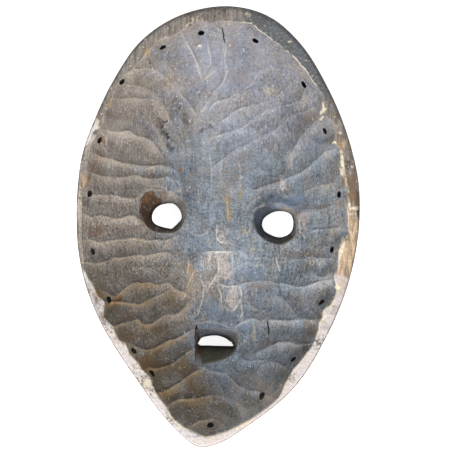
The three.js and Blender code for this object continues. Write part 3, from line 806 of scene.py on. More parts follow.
@dataclass
class Touches:
    """What the gouge left when the carver went over the hollow again: small shallow dents, and torn pockets.

    Attributes:
        half, length, depth: the least and the most half width, length and depth of a dent.
        area: the least x and y and the most x and y of the dents' middles.
        pockets: x, y, half width, length, depth and turn in degrees of each place where the grain tore out.
    """

    count: int = 230
    seed: int = 31
    half: Floats = (1.8, 4.2)
    length: Floats = (7.0, 17.0)
    depth: Floats = (0.12, 0.5)
    area: Floats = (-70, -112, 70, 118)
    pockets: Rows = (
        (-32.7, 60.2, 2.6, 6, 1.9, -60), (-31.8, 54.7, 2, 8, 2.2, -72), (-29.1, 46.3, 2, 8, 2, -70),
        (-19.3, 63.5, 2.4, 10, 1.3, -78), (-37.7, 89.9, 1.7, 8, 1.8, -75), (-10.9, 56.3, 1.3, 5, 1.3, 35),
        (-6.9, 59.2, 1.3, 5, 1.3, -30), (-38.1, 69.7, 2, 6, 1.2, -40), (-24, 74.4, 2.2, 9, 1, -65),
        (-60.4, 81.3, 1.8, 6, 1.6, -70),
    )
    torn: PlanNoise = field(default_factory=lambda: PlanNoise(57))

    def at(self, x: Field, y: Field) -> Field:
        """How deep the dents and the torn pockets are at points of the plan.

        Args:
            x, y: points of the plan.

        Returns:
            The depth in millimetres.
        """
        draw = np.random.default_rng(self.seed)
        left, low, right, high = self.area
        total = np.zeros(x.shape)
        for _ in range(self.count):
            mx, my = draw.uniform(left, right), draw.uniform(low, high)
            run = math.atan2(my * 0.35, mx) + draw.normal(0.0, 0.35)
            half, length = draw.uniform(*self.half), draw.uniform(*self.length) / 2.0
            depth = draw.uniform(*self.depth)
            near = (np.abs(x - mx) < length + 1) & (np.abs(y - my) < length + 1)
            if not near.any():
                continue
            along, across = turned(x[near] - mx, y[near] - my, run)
            total[near] += depth * np.clip(1.0 - (across / half) ** 2 - (along / length) ** 4, 0.0, None)
        ragged = self.torn.layered(x, y, 1.6, 2)
        for px, py, half, length, depth, turn in self.pockets:
            along, across = turned(x - px, y - py, math.radians(turn))
            inside = 1.0 - np.hypot(across / half, along / length * 2.0) + 0.45 * ragged
            total += depth * smoothstep(inside, 0.0, 0.55)
        return total


class Tint(Enum):
    """The colours that stain the wood, and some that paint shade on the openings' walls and in torn pockets.
    """

    WHITE = (222, 217, 211)
    PALE = (178, 168, 146)
    PINK = (200, 187, 180)
    GOLD = (178, 152, 112)
    ORANGE = (164, 118, 76)
    BROWN = (122, 100, 82)
    DARK = (66, 60, 54)
    BLUE = (122, 136, 156)
    UMBER = (90, 66, 47)
    SOOT = (98, 95, 80)
    RUST = (140, 102, 62)
    CREAM = (238, 224, 198)
    OLIVE = (108, 102, 88)
    SLATE = (66, 74, 88)


@dataclass(frozen=True)
class StainAndShadeSpot:
    """A place that a stain or painted shade covers: its middle and half sizes in the plan, its strength, and
    its turn.
    """

    x: float
    y: float
    wide: float
    tall: float
    share: float
    turn: float = 0.0

    def over(self, x: Field, y: Field, ragged: Field) -> Field:
        """How strongly the place is covered at points of the plan."""
        across, along = turned(x - self.x, y - self.y, math.radians(self.turn))
        away = (np.abs(across / self.wide) ** 3 + np.abs(along / self.tall) ** 3) ** (1 / 3)
        return self.share * smoothstep(1.15 - away + 0.5 * ragged, 0.0, 0.6)


# Stains, and painted shade: the walled colours darken the openings' walls, and some DARK places darken torn
# pockets.
STAINS_AND_SHADE: tuple[tuple[Tint, Rows], ...] = (
    (Tint.PALE, ((27.9, 77.4, 5, 3.3, 0.45, 10),)),
    (Tint.BROWN, ((10.8, 84.6, 5.6, 3.9, 0.35), (7.9, 101.3, 2.2, 8.3, 0.35))),
    (Tint.WHITE, ((-11, 100.5, 1.9, 1.4, 0.8, 20),)),
    (Tint.PINK, (
        (0.9, -6.1, 3.9, 6.1, 0.45), (2.7, -23.9, 4.5, 10, 0.7), (6.1, -41, 5, 7.8, 0.7),
        (35.9, 24.2, 2.2, 7.2, 0.45, 8), (39.9, 36.7, 1.9, 6.1, 0.4, 10),
    )),
    (Tint.GOLD, ((-17.3, -30.7, 2.2, 14.5, 0.6, 4), (62.2, -2.8, 1.1, 3.3, 0.5, 25))),
    (Tint.ORANGE, ((-19, -23.3, 1.1, 1.9, 0.8), (-23.5, 32.5, 1.1, 1.4, 0.7))),
    (Tint.OLIVE, (
        (-51.5, -48.1, 14.5, 11.1, 0.45, -15), (-34.7, -80.9, 13.4, 10, 0.5, 20),
        (-58.9, -23.9, 10, 7.8, 0.3), (-20.4, -100.7, 10, 6.7, 0.5, 20), (7.1, -103, 5.6, 5.6, 0.5),
        (17.6, -97.7, 6.7, 5, 0.5),
    )),
    (Tint.BROWN, (
        (54.2, 11, 12.2, 2.2, 0.4, 4), (51.1, -55.7, 3.3, 4.5, 0.5), (-65.8, 34, 2.8, 9.5, 0.4),
        (-67.7, -7.2, 3.9, 3.3, 0.25),
    )),
    (Tint.PALE, ((55.3, 21.6, 7.2, 4.5, 0.3), (19.4, -60.5, 0.8, 5.6, 0.8, 2))),
    (Tint.PINK, ((47.6, 1.5, 2.8, 5.6, 0.55),)),
    # The last four DARK places are painted shade in torn pockets at the upper left, under their steep walls.
    (Tint.DARK, (
        (51.5, -65, 6.7, 2.8, 0.5, 25), (-32.7, 60.2, 1.3, 1.1, 0.6, 30),
        (-31.7, 55.3, 0.9, 2.2, 0.65, 18), (-28.6, 47.4, 0.9, 2.8, 0.5, 20),
        (-19.3, 63.5, 1.1, 3.9, 0.4, 12),
    )),
    (Tint.GOLD, (
        (-72.9, 25.1, 1.7, 2.2, 0.6), (-65.3, 57.8, 1.7, 2.8, 0.6, -20), (-58.8, 68.7, 1.1, 4.5, 0.6, -10),
        (-39.1, 95, 1.7, 2.8, 0.7), (5.3, 23.3, 7.8, 7.8, 0.22), (11.2, 19.2, 1.1, 4.5, 0.5, -12),
        (4.3, 10.5, 1.7, 8.9, 0.7, 3), (-55.2, -41.9, 4.5, 1.4, 0.7), (-39.2, -33.6, 6.7, 1.1, 0.5),
    )),
    (Tint.CREAM, (
        (57.5, 64.9, 0.7, 3.3, 1, 5), (57, 59.7, 1.4, 0.7, 0.8, 40), (64, 45.8, 2.2, 0.6, 0.7, -10),
        (67.3, 39.3, 0.7, 3.3, 0.8, 8), (68.4, 32.2, 0.8, 3.3, 1, 12), (70, 24, 0.6, 5, 0.8, 9),
        (71.6, 13.1, 0.7, 5, 0.9, 8), (73.3, 7.1, 2.2, 0.7, 0.8),
    )),
    (Tint.ORANGE, ((66.2, 46.9, 1.4, 5, 0.45, 15), (72.7, 17.5, 1.8, 5.6, 0.4, 8))),
    # Painted shade: these DARK places darken three more torn pockets.
    (Tint.DARK, (
        (-37.7, 90.4, 0.8, 3.9, 0.85, 12), (-10.9, 56.3, 0.8, 1.7, 0.8, -50),
        (-6.9, 59.2, 0.7, 1.9, 0.8, 60),
    )),
    (Tint.OLIVE, ((38.4, -80.8, 5, 4.5, 0.45),)),
    (Tint.BLUE, (
        (17, -26.7, 8.9, 5, 0.55), (4.5, -53.5, 7.8, 7.8, 0.35), (-12.4, 70.4, 10, 12.2, 0.25),
        (16, -56.7, 6.1, 2.8, 0.6, 15), (-3.5, -56.4, 9.5, 1.7, 0.6), (-6.5, -43.3, 3.9, 7.8, 0.5),
        (-11.7, -9.6, 5, 6.7, 0.5), (0.2, 90.9, 17.8, 16.7, 0.3), (-3, -88, 7.2, 6.7, 0.3),
    )),
    (Tint.DARK, ((-24.6, 53.2, 8.9, 11.1, 0.3, -20), (14.7, 78, 5, 1.1, 0.5, 25))),
    (Tint.BROWN, (
        (28.5, -66.6, 6.7, 2.8, 0.35), (48, 59.6, 6.7, 4.5, 0.35), (2.4, 35.5, 12.2, 7.8, 0.3),
        (45.4, 6.5, 5, 6.7, 0.35),
    )),
    (Tint.PALE, (
        (11.9, -43.8, 0.7, 7.8, 0.6), (-47.9, -17.6, 5.6, 1.1, 0.4, 5), (47.9, 68, 1.1, 3.3, 0.5, -20),
        (14.1, -3.2, 4.5, 2.2, 0.35), (21.6, -13.5, 5, 1.7, 0.35),
    )),
    (Tint.PINK, ((-4.8, -20.5, 4.5, 5, 0.4), (-7.6, -37.6, 2.8, 6.7, 0.35), (45.4, -0.8, 2.8, 5, 0.4))),
    (Tint.BROWN, (
        (48.1, -15.9, 11.1, 1.7, 0.4), (23.9, -34, 8.9, 2.2, 0.4), (5.3, 26.8, 7.8, 5.6, 0.3),
        (42.5, -44, 8.9, 5.6, 0.25),
    )),
    (Tint.PALE, ((53.6, -19.6, 4.5, 1.7, 0.3),)),
    # On the openings' walls, the umber, slate and dark olive places are partly painted shade that darkens the
    # walls.
    (Tint.UMBER, ((-42.9, 7.1, 11.7, 18.9, 1.3),)),
    (Tint.PINK, ((-27.8, 19.7, 7.8, 3.3, 0.45),)),
    (Tint.ORANGE, ((-41.9, 15, 2.2, 1.7, 0.8), (-39.8, 19, 1.7, 1.1, 0.6))),
    (Tint.SOOT, ((-30.8, -4.3, 8.9, 5.6, 1.2), (-24.2, 2.5, 2.8, 5.6, 0.8))),
    (Tint.SLATE, ((21.6, 2.5, 13.4, 18.9, 1.1),)),
    (Tint.BLUE, ((38.2, 13.9, 11.1, 4.5, 0.9),)),
    (Tint.SOOT, ((36.4, -9.4, 10, 4.5, 1.1), (-2.2, -73.6, 12.2, 6.1, 1.2))),
    (Tint.UMBER, ((-13.6, -66.2, 1.9, 12.2, 1.2), (-11.3, -70.2, 1.9, 6.1, 1.3))),
    (Tint.DARK, (
        (-9.7, -60.2, 1.4, 1.1, 0.9), (-6.9, -59.2, 1.1, 0.8, 0.8), (-3.5, -60.9, 0.8, 0.6, 0.7),
        (71.1, 33.8, 1.7, 4.5, 0.6),
    )),
    (Tint.BROWN, ((6.3, -62.4, 2.2, 2.8, 0.8, -30), (73.3, 19.3, 4, 10.5, 1.3, 11))),
    (Tint.WHITE, (
        (-9.2, -60.2, 0.6, 0.7, 0.5), (-69.4, 51.8, 1.8, 10, 1.1, 146), (-75, 32.3, 0.8, 12, 0.4, 160),
        (-76.4, 13, 0.7, 8, 0.4, 174), (-72.4, -26.5, 0.7, 3.5, 0.9, -156),
    )),
    (Tint.BLUE, ((-2.3, -60.9, 11.1, 3.3, 0.6), (-18.5, -111.9, 2.6, 12, 0.2, -99))),
    (Tint.PALE, ((-4.1, -55.5, 6.7, 0.4, 0.3, -3), (17.6, 116.3, 2.5, 1.2, 0.6, 81))),
    (Tint.DARK, ((76.6, 11.7, 1.3, 12, 1.2, 5),)),
    (Tint.CREAM, (
        (73.9, 10.2, 3, 1.2, 1, 4), (67.2, -12.4, 0.9, 5.5, 0.9, -14), (65.6, -32.9, 2.5, 1.6, 1, -30),
        (58, -49.1, 0.7, 3, 0.8, -43), (67.2, 30.1, 0.6, 3, 0.9, 20), (63.4, 46.2, 1.5, 0.8, 0.9, 33),
        (57.7, 63.7, 2.4, 1.3, 0.9, 46), (-11.4, 113, 1.8, 0.8, 0.9, 96),
        (-38.3, -85.2, 2.2, 1.8, 1, -113),
    )),
    (Tint.DARK, (
        (-9.6, 115, 4, 15, 0.22, 95), (24.7, 112.1, 2, 3, 0.3, 77), (3.9, 117.6, 3, 1, 0.35, 88),
        (11.6, 115, 3, 0.8, 0.3, 84), (-25.9, 108.9, 3, 1, 0.35, 104),
    )),
    (Tint.RUST, (
        (-39.6, -76.2, 3.5, 5.5, 1, -116), (-49.7, -60.9, 4, 5, 0.5, -127), (-29.7, -92, 3, 4, 0.7, -107),
        (-65.1, -37.2, 1.3, 4, 0.8, -147), (-56, -40.4, 4, 2, 1.1, -141),
        (-51.5, -50.2, 4, 2.5, 0.6, -133), (-68.4, -2.2, 4, 4, 0.45, -174), (-70, 29.1, 0.9, 9, 0.6, 161),
        (-63.2, 47.6, 2.5, 1.5, 0.5, 146),
    )),
)


@dataclass
class StainsAndShade:
    """The places in the hollow, on the rim and on the openings' walls that are stained, rubbed or painted
    with shade.

    Attributes:
        fades: x, y, the reach and the strength of soft places that are lighter, or under 0 darker.
        places: colours in the order in which they are laid on, each with its places: x, y, half width, half
            height, strength and turn in degrees. A strength over 1 makes a place's edge sharper.
        walled: the colours that lie only on the walls of the openings, where they are partly painted shade.
    """

    fades: Rows = (
        (-44, 56, 5, 0.14), (-37, 22, 5, 0.16), (-55, 6, 6, 0.08), (45, 54, 14, -0.1),
        (43, -20, 11, -0.08), (4, 17, 20, 0.1), (1, 44, 17, 0.06), (-14, -65, 9, 0.1), (24, -95, 12, 0.24),
        (17, -59, 11, 0.08), (-40, 60, 15, -0.1), (16, 17, 8, 0.1), (4, -20, 9, 0.08), (15, -108, 8, 0.1),
        (-65, 40, 5, 0.14), (-22, 72, 9, -0.2), (40, 67, 11, -0.2), (3, 28, 17, 0.22), (-54, 54, 7, 0.18),
        (-11, -36, 14, 0.18), (38, -25, 12, -0.18), (-52, -5, 10, -0.1), (16, -101, 10, 0.2),
    )
    places: tuple[tuple[Tint, Rows], ...] = STAINS_AND_SHADE
    walled: tuple[Tint, ...] = (Tint.UMBER, Tint.SLATE, Tint.SOOT)
    noise: PlanNoise = field(default_factory=lambda: PlanNoise(43))

    def faded(self, x: Field, y: Field) -> Field:
        """How much lighter or darker the smoked surface is at points of the plan, from its mean."""
        share = np.zeros_like(x)
        for px, py, reach, lighter in self.fades:
            share += lighter * np.exp(-((x - px) ** 2 + (y - py) ** 2) / reach**2)
        return share

    def over(self, x: Field, y: Field, to_cut: Field) -> Pair:
        """The colour and the strength of the stains and the painted shade at points of the plan.

        Args:
            x, y: points of the plan.
            to_cut: how far they lie outside the edges of the openings.

        Returns:
            The colours, a row for each point, and the strengths from 0 to 1.
        """
        ragged = self.noise.layered(x, y * 0.6, 4.0, 3)
        mixed, share = np.full((len(x), 3), 0.4), np.zeros(len(x))
        on_wall = smoothstep(-to_cut, -0.5, 0.1)
        for tint, row in ((tint, row) for tint, rows in self.places for row in rows):
            cover = StainAndShadeSpot(*row).over(x, y, ragged)
            if tint in self.walled:
                cover = cover * on_wall
            weight = cover / np.maximum(cover + share, 1e-6)
            mixed = lerp(mixed, np.array(colour(*tint.value)[:3]), weight[:, None])
            share = np.maximum(share, cover)
        return mixed, share


SCRATCHES: Rows = (
    (90, -76, -376, -48, -319, -19, -268), (70, -19, -268, -8, -336),
    (65, -145, -210, -122, -273, -99, -336, -110, -433, -127, -495, -160, -522),
    (60, -139, -239, -173, -307, -206, -375), (90, -100, -147, -14, -147, 72, -147),
    (50, -100, -147, -111, -204, -88, -250), (80, -14, -159, -8, -239, -25, -319),
    (60, 72, -153, 73, -239, 55, -285),
    (80, -13, -336, 44, -348, 113, -353, 113, -421, 90, -467, 50, -484, 21, -456),
    (70, -19, -342, 4, -399, 10, -467), (100, -20, -4, -25, -55, -2, -90, 38, -90),
    (50, -71, -33, -117, -55, -174, -32), (80, 119, -438, 131, -495, 108, -540),
    (40, -137, -551, -70, -547, -1, -563, 68, -579, 131, -545, 199, -527),
    (90, 313, -180, 325, -219, 342, -259), (50, -64, 442, -57, 337, -51, 238),
    (40, 6, 384, 1, 291, 7, 209), (60, -131, 221, -130, 123), (50, 99, 384, 111, 291, 117, 209),
    (60, -263, 278, -233, 209, -221, 151), (50, -97, 834, -56, 867, -21, 898),
    (40, -187, 1038, -155, 984, -126, 921, -102, 839), (60, -90, 693, -113, 659, -102, 637),
    (35, 40, 1013, 31, 939, 41, 888, 22, 836), (40, -60, 1017, -52, 958, -49, 908),
    (80, -185, -181, -179, -227, -190, -278), (50, 42, 180, 37, 105, 49, 13),
    (70, -637, 518, -620, 488, -627, 455), (50, 359, 294, 348, 231, 370, 173),
    (50, 437, 60, 454, 3, 476, -64), (60, 194, -555, 200, -610, 189, -659),
    (50, 153, -421, 182, -466, 239, -487), (50, -48, -164, -65, -205, -54, -262),
)


@dataclass
class Scratches:
    """Thin pale lines along the spine, where the surface is scratched or has split off.

    Attributes:
        lines: the scratches, as OpenLines takes them.
        reach: how far from a scratch anything is worked out.
    """

    lines: Rows = SCRATCHES
    reach: float = 3.0
    sway: PlanNoise = field(default_factory=lambda: PlanNoise(61))

    def closest(self, x: Field, y: Field) -> tuple[Field, Field, Field]:
        """The distance from the closest scratch, the same with its sign, and that scratch's strength."""
        x = x + 0.6 * self.sway.at(x, y, 4.0)
        y = y + 0.6 * self.sway.at(y, x, 4.0)
        return OpenLines(self.lines, self.reach).closest(x, y)


@dataclass
class MaskForm:
    """The whole carved form: the hollow, the rim and the face, with what each spot of the surface needs.

    Attributes:
        hollow_depth: how deep the hollow is below the eyes; hollow_forehead is added to it above them.
        hollow_powers: how square its bowl is across and along.
        uncut: how far the highest wood between strokes stands off the mean surface.
        calm: how far from an opening the gouge work fades out.
        bevel_share, bevel_drop: the share of the rim that its rounded edge takes, and how far that falls.
        edge_fade: how far inside the rim the gouge work starts to fade, and where it is gone.
        nick_fade: the same for the slope that the rim's nicks bring with them.
        rim_soft: how far the joint of rim and hollow is rounded over.
    """

    outline: Outline = field(default_factory=Outline)
    hollow_depth: float = 44.0
    hollow_forehead: float = 13.0
    hollow_powers: Floats = (2.2, 3.8)
    uncut: float = -0.9
    calm: float = 4.0
    bevel_share: float = 0.3
    bevel_drop: float = 1.6
    edge_fade: Floats = (6.0, 0.5)
    nick_fade: Floats = (15.0, 5.0)
    rim_soft: float = 0.35
    tool_noise: PlanNoise = field(default_factory=lambda: PlanNoise(7))

    def __post_init__(self) -> None:
        """Makes the parts of the form that share the outline."""
        self.holes = CordHoles(self.outline)
        self.work = GougeWork(self.holes)
        self.face = FaceForm(self.outline)
        self.touches = Touches()

    def mean_hollow(self, x: Field, y: Field) -> Field:
        """The hollow's mean surface, under zero beyond its edge."""
        angle, radius = self.outline.polar(x, y)
        share = radius / (self.outline.radius(angle) - self.outline.width(angle))
        deepest = self.hollow_depth + self.hollow_forehead * smoothstep(y, -10.0, 55.0)
        power = lerp(*self.hollow_powers, np.sin(angle) ** 2)
        return deepest * (1.0 - share**power)

    def steepness(self, x: Field, y: Field) -> Field:
        """How much a slope lengthens a cut that is measured straight down."""
        step = 0.5
        dx = self.mean_hollow(x + step, y) - self.mean_hollow(x - step, y)
        dy = self.mean_hollow(x, y + step) - self.mean_hollow(x, y - step)
        return np.sqrt(1.0 + dx * dx + dy * dy)

    def rim_line(self, x: Field, y: Field) -> Field:
        """The rim's own surface: flat, with a rounded bevel at its outer edge."""
        angle, radius = self.outline.polar(x, y)
        bevel = self.outline.width(angle) * self.bevel_share
        out = np.clip((radius - self.outline.radius(angle) + bevel) / bevel, 0.0, 1.0)
        return self.bevel_drop * out**1.6

    def tooling(self, x: Field, y: Field) -> Field:
        """Fine unevenness that the gouge leaves: small facets, a rough grain and the fibres."""
        noise = self.tool_noise
        rough = 0.2 * noise.layered(x, y, 8.0, 4)
        fibres = 0.06 * noise.at(x, y * 0.12, 1.3)
        return rough + fibres + self.touches.at(x, y)

    def top(self, x: Field, y: Field) -> dict[str, Field]:
        """The upper side: its depth below the rim, and masks of what lies where.

        Args:
            x, y: points of the plan.

        Returns:
            The depth, how far the hollow is below the rim there, and what GougeWork.lie gives, by name.
        """
        lie = self.work.lie(x, y)
        full = self.work.full * (1.0 + 0.4 * smoothstep(-y, 20.0, 60.0))
        cut = self.uncut + full * lie["reach"] + self.work.dishes(x, y)
        for opening in OPENINGS:
            calm = smoothstep(-opening.near.off(x, y), -self.calm, -0.4)
            cut = lerp(cut, opening.sink, calm)
        angle, radius = self.outline.polar(x, y)
        nicked, rim_in = self.outline.nicked(angle), self.outline.radius(angle) - radius
        cut = lerp(cut, 0.0, smoothstep(rim_in - nicked, *self.edge_fade))
        steep = self.steepness(x, y)
        nick = (self.outline.width(angle) - nicked) * np.sqrt(steep**2 - 1.0)
        nick = nick * smoothstep(rim_in, *self.nick_fade)
        carved = self.mean_hollow(x, y) + nick + cut * steep
        inside = smoothstep(carved, 0.0, 2.0)
        carved = carved + inside * self.tooling(x, y)
        rim = self.rim_line(x, y)
        return {"depth": soft_max(carved, rim, self.rim_soft), "inside": carved - rim, **lie}


@dataclass
class MeshMaker:
    """Turns the form into one closed mesh: a fine grid above, a coarser one below, and a band between.

    FACE_SHARE is how far out the lower grid reaches, and GRADING over 1 draws the grids' lines together
    towards the rim.
    """

    form: MaskForm
    TOP_GRID = (230, 320)
    FACE_GRID = (104, 142)
    FACE_SHARE = 0.985
    GRADING = 1.12

    def _disc(self, grid: tuple[int, int]) -> Pair:
        """Angles and shares of the radius for a square grid that is laid over a round plan."""
        a, b = np.meshgrid(np.linspace(-1, 1, grid[0] + 1), np.linspace(-1, 1, grid[1] + 1))
        u, v = a * np.sqrt(1 - b * b / 2), b * np.sqrt(1 - a * a / 2)
        share = np.minimum(1.0, np.hypot(u, v))
        return np.arctan2(v, u).ravel(), (1.0 - (1.0 - share) ** self.GRADING).ravel()

    @staticmethod
    def _quads(grid: tuple[int, int], first: int, upwards: bool) -> Field:
        """The four-sided faces of a grid.

        Args:
            grid: how many faces it has each way.
            first: the number of its first point.
            upwards: whether the faces look up.

        Returns:
            A row of four points for each face.
        """
        columns, rows = grid
        i, j = np.meshgrid(np.arange(columns), np.arange(rows))
        a = (first + j * (columns + 1) + i).ravel()
        b, c, d = a + 1, a + columns + 2, a + columns + 1
        return np.stack([a, b, c, d] if upwards else [a, d, c, b], axis=1)

    @staticmethod
    def _border(grid: tuple[int, int], first: int) -> Field:
        """The border of a grid, counter-clockwise from above."""
        columns, rows = grid
        i, j = np.arange(columns), np.arange(rows)
        wide = columns + 1
        return first + np.concatenate(
            [i, j * wide + columns, rows * wide + columns - i, (rows - j) * wide]
        )

    @staticmethod
    def _zip(lower: Field, upper: Field, lower_turn: Field, upper_turn: Field) -> list[tuple[int, int, int]]:
        """Triangles between two loops of different counts, each with its share of the turn.

        Args:
            lower, upper: the loops' points in order.
            lower_turn, upper_turn: how far round each of them stands.

        Returns:
            Three points for each triangle.
        """
        faces, i, j = [], 0, 0
        while i < len(lower) or j < len(upper):
            next_i, next_j = lower_turn[i + 1], upper_turn[j + 1]
            a, b = lower[i % len(lower)], upper[j % len(upper)]
            if j >= len(upper) or (i < len(lower) and next_i <= next_j):
                faces.append((a, lower[(i + 1) % len(lower)], b))
                i += 1
            else:
                faces.append((a, upper[(j + 1) % len(upper)], b))
                j += 1
        return faces

    def _turns(self, angles: Field) -> Field:
        """The running turn along a loop that goes once round, with a stop at its end."""
        steps = np.diff(np.concatenate([angles, angles[:1]]))
        steps = (steps + np.pi) % (2 * np.pi) - np.pi
        return np.concatenate([[0.0], np.cumsum(steps), [np.inf]])

    def build(self, name: str) -> bpy.types.Object:
        """Makes the closed mask, without its openings.

        Args:
            name: the object's name.

        Returns:
            The mask as an object in metres.
        """
        form, outline = self.form, self.form.outline
        top_angle, top_share = self._disc(self.TOP_GRID)
        tx, ty = outline.place(top_angle, top_share * outline.radius(top_angle))
        top = np.stack([tx, ty, -form.top(tx, ty)["depth"]], axis=1)
        face_angle, face_share = self._disc(self.FACE_GRID)
        fx, fy = outline.place(face_angle, face_share * self.FACE_SHARE * outline.radius(face_angle))
        under = np.stack([fx, fy, -form.face.depth(fx, fy)], axis=1)
        upper, lower = self._border(self.TOP_GRID, 0), self._border(self.FACE_GRID, len(top))
        turns = self._turns(face_angle[lower - len(top)]), self._turns(top_angle[upper])
        band = self._zip(lower, upper, *turns)
        faces = [
            *self._quads(self.TOP_GRID, 0, True).tolist(),
            *self._quads(self.FACE_GRID, len(top), False).tolist(),
            *[tuple(int(v) for v in f) for f in band],
        ]
        return object_of(name, np.concatenate([top, under]), faces)


def placed(name: str, data: bpy.types.ID) -> bpy.types.Object:
    """Puts a new object into the scene."""
    piece = bpy.data.objects.new(name, data)
    bpy.context.scene.collection.objects.link(piece)
    return piece


def object_of(name: str, points: Field, faces: list[tuple[int, ...]]) -> bpy.types.Object:
    """Makes an object whose points are given in millimetres, with z measured up from the rim.

    Args:
        name: the object's name.
        points: a row of x, y and z for each.
        faces: the points' numbers, in order round each face.

    Returns:
        The object, in metres.
    """
    mesh = bpy.data.meshes.new(name)
    lifted = (points + np.array([0.0, 0.0, FaceForm.whole_depth])) * MM
    mesh.from_pydata(lifted, [], faces)
    mesh.update()
    return placed(name, mesh)


def settle(piece: bpy.types.Object) -> None:
    """Turns a piece and its modifiers into a plain mesh."""
    view = bpy.context.evaluated_depsgraph_get()
    mesh = bpy.data.meshes.new_from_object(piece.evaluated_get(view))
    piece.modifiers.clear()
    piece.data = mesh


class Surface(Enum):
    """The kinds of surface of the mask, in the order of its material slots."""

    CARVED = 0
    CUT = 1
    BORE = 2


@dataclass
class Openings:
    """Cuts the eyes, the mouth and the holes for cord through the mask.

    Attributes:
        form: the mask's form.
        materials: the materials in the order of the mask's slots.
    """

    form: MaskForm
    materials: list[bpy.types.Material]
    POINTS = 96

    def cutter(self, opening: Opening) -> bpy.types.Object:
        """Makes the solid that an eye or the mouth is cut with.

        Args:
            opening: the eye or the mouth.

        Returns:
            The solid, closed at both ends.
        """
        rings = opening.rings(self.form.mean_hollow, self.POINTS)
        points = np.concatenate(rings)
        points[:, 2] *= -1.0
        caps = np.array([rings[0].mean(axis=0), rings[-1].mean(axis=0)]) * [1.0, 1.0, -1.0]
        n = self.POINTS
        top, bottom, last = len(points), len(points) + 1, len(points) - n
        sides = [(i, (i + 1) % n) for i in range(n)]
        faces = [(k + i, k + j, k + n + j, k + n + i) for k in range(0, last, n) for i, j in sides]
        faces += [face for i, j in sides for face in ((top, j, i), (bottom, last + i, last + j))]
        return object_of(opening.name, np.concatenate([points, caps]), faces)

    def drills(self) -> bpy.types.Object:
        """Makes all the drills of the cord holes with Geometry Nodes.

        Returns:
            One object with every drill as plain mesh.
        """
        holes, places, aims = self.form.holes, [], []
        lean = math.radians(holes.lean)
        for angle, x, y in holes.mouths():
            depth = max(0.0, float(self.form.mean_hollow(np.array([x]), np.array([y]))[0]))
            places.append((x, y, -depth))
            aims.append((math.cos(angle) * math.sin(lean), math.sin(angle) * math.sin(lean), -math.cos(lean)))
        piece = object_of("cord_drills", np.array(places), [])
        aim = piece.data.attributes.new("aim", "FLOAT_VECTOR", "POINT")
        aim.data.foreach_set("vector", np.array(aims, dtype=np.float32).ravel())
        tree = self._drill_tree()
        modifier = piece.modifiers.new("drills", "NODES")
        modifier.node_group = tree
        sizes = {"Radius": holes.radius, "Length": holes.length, "Start Above": holes.start_above}
        for socket in tree.interface.items_tree:
            if socket.name in sizes:
                modifier[socket.identifier] = sizes[socket.name] * MM
            elif socket.name == "Sides":
                modifier[socket.identifier] = holes.sides
        settle(piece)
        return piece

    def _drill_tree(self) -> bpy.types.NodeTree:
        """The tree that stands a drill at each point, turned to the point's aim."""
        tree = bpy.data.node_groups.new("Drills", "GeometryNodeTree")
        face = tree.interface
        face.new_socket("Points", in_out="INPUT", socket_type="NodeSocketGeometry")
        for name in ("Radius", "Length", "Start Above"):
            face.new_socket(name, in_out="INPUT", socket_type="NodeSocketFloat")
        face.new_socket("Sides", in_out="INPUT", socket_type="NodeSocketInt")
        face.new_socket("Drills", in_out="OUTPUT", socket_type="NodeSocketGeometry")
        graph = Graph(tree)
        given, result = graph.add("NodeGroupInput").outputs, graph.add("NodeGroupOutput").inputs[0]
        rod = graph.add("GeometryNodeMeshCylinder", {
            "Vertices": given["Sides"], "Radius": given["Radius"], "Depth": given["Length"],
        })
        middle = graph.minus(graph.times(given["Length"], 0.5), given["Start Above"])
        rise = graph.add("ShaderNodeCombineXYZ", {"Z": middle}).outputs[0]
        moved = graph.add("GeometryNodeTransform", {"Geometry": rod.outputs["Mesh"], "Translation": rise})
        aim = graph.add("GeometryNodeInputNamedAttribute", {"Name": "aim"}, data_type="FLOAT_VECTOR")
        turn = graph.add("FunctionNodeAlignRotationToVector", {"Vector": aim.outputs["Attribute"]}, axis="Z")
        stood = graph.add("GeometryNodeInstanceOnPoints", {
            "Points": given["Points"], "Instance": moved.outputs[0], "Rotation": turn.outputs[0],
        })
        real = graph.add("GeometryNodeRealizeInstances", {"Geometry": stood.outputs[0]})
        dressed = graph.add("GeometryNodeSetMaterial", {
            "Geometry": real.outputs[0], "Material": self.materials[Surface.BORE.value],
        })
        graph.link(dressed.outputs[0], result)
        return tree

    def cut(self, piece: bpy.types.Object) -> None:
        """Cuts every opening through the piece.

        Args:
            piece: the mask without its openings, which is changed.
        """
        tools = [(self.cutter(opening), Surface.CUT) for opening in OPENINGS]
        tools.append((self.drills(), Surface.BORE))
        for tool, surface in tools:
            tool.data.materials.clear()
            for material in self.materials:
                tool.data.materials.append(material)
            tool.data.polygons.foreach_set("material_index", [surface.value] * len(tool.data.polygons))
            modifier = piece.modifiers.new(tool.name, "BOOLEAN")
            modifier.operation = "DIFFERENCE"
            modifier.solver = "MANIFOLD"
            modifier.object = tool
            settle(piece)
            bpy.data.objects.remove(tool)


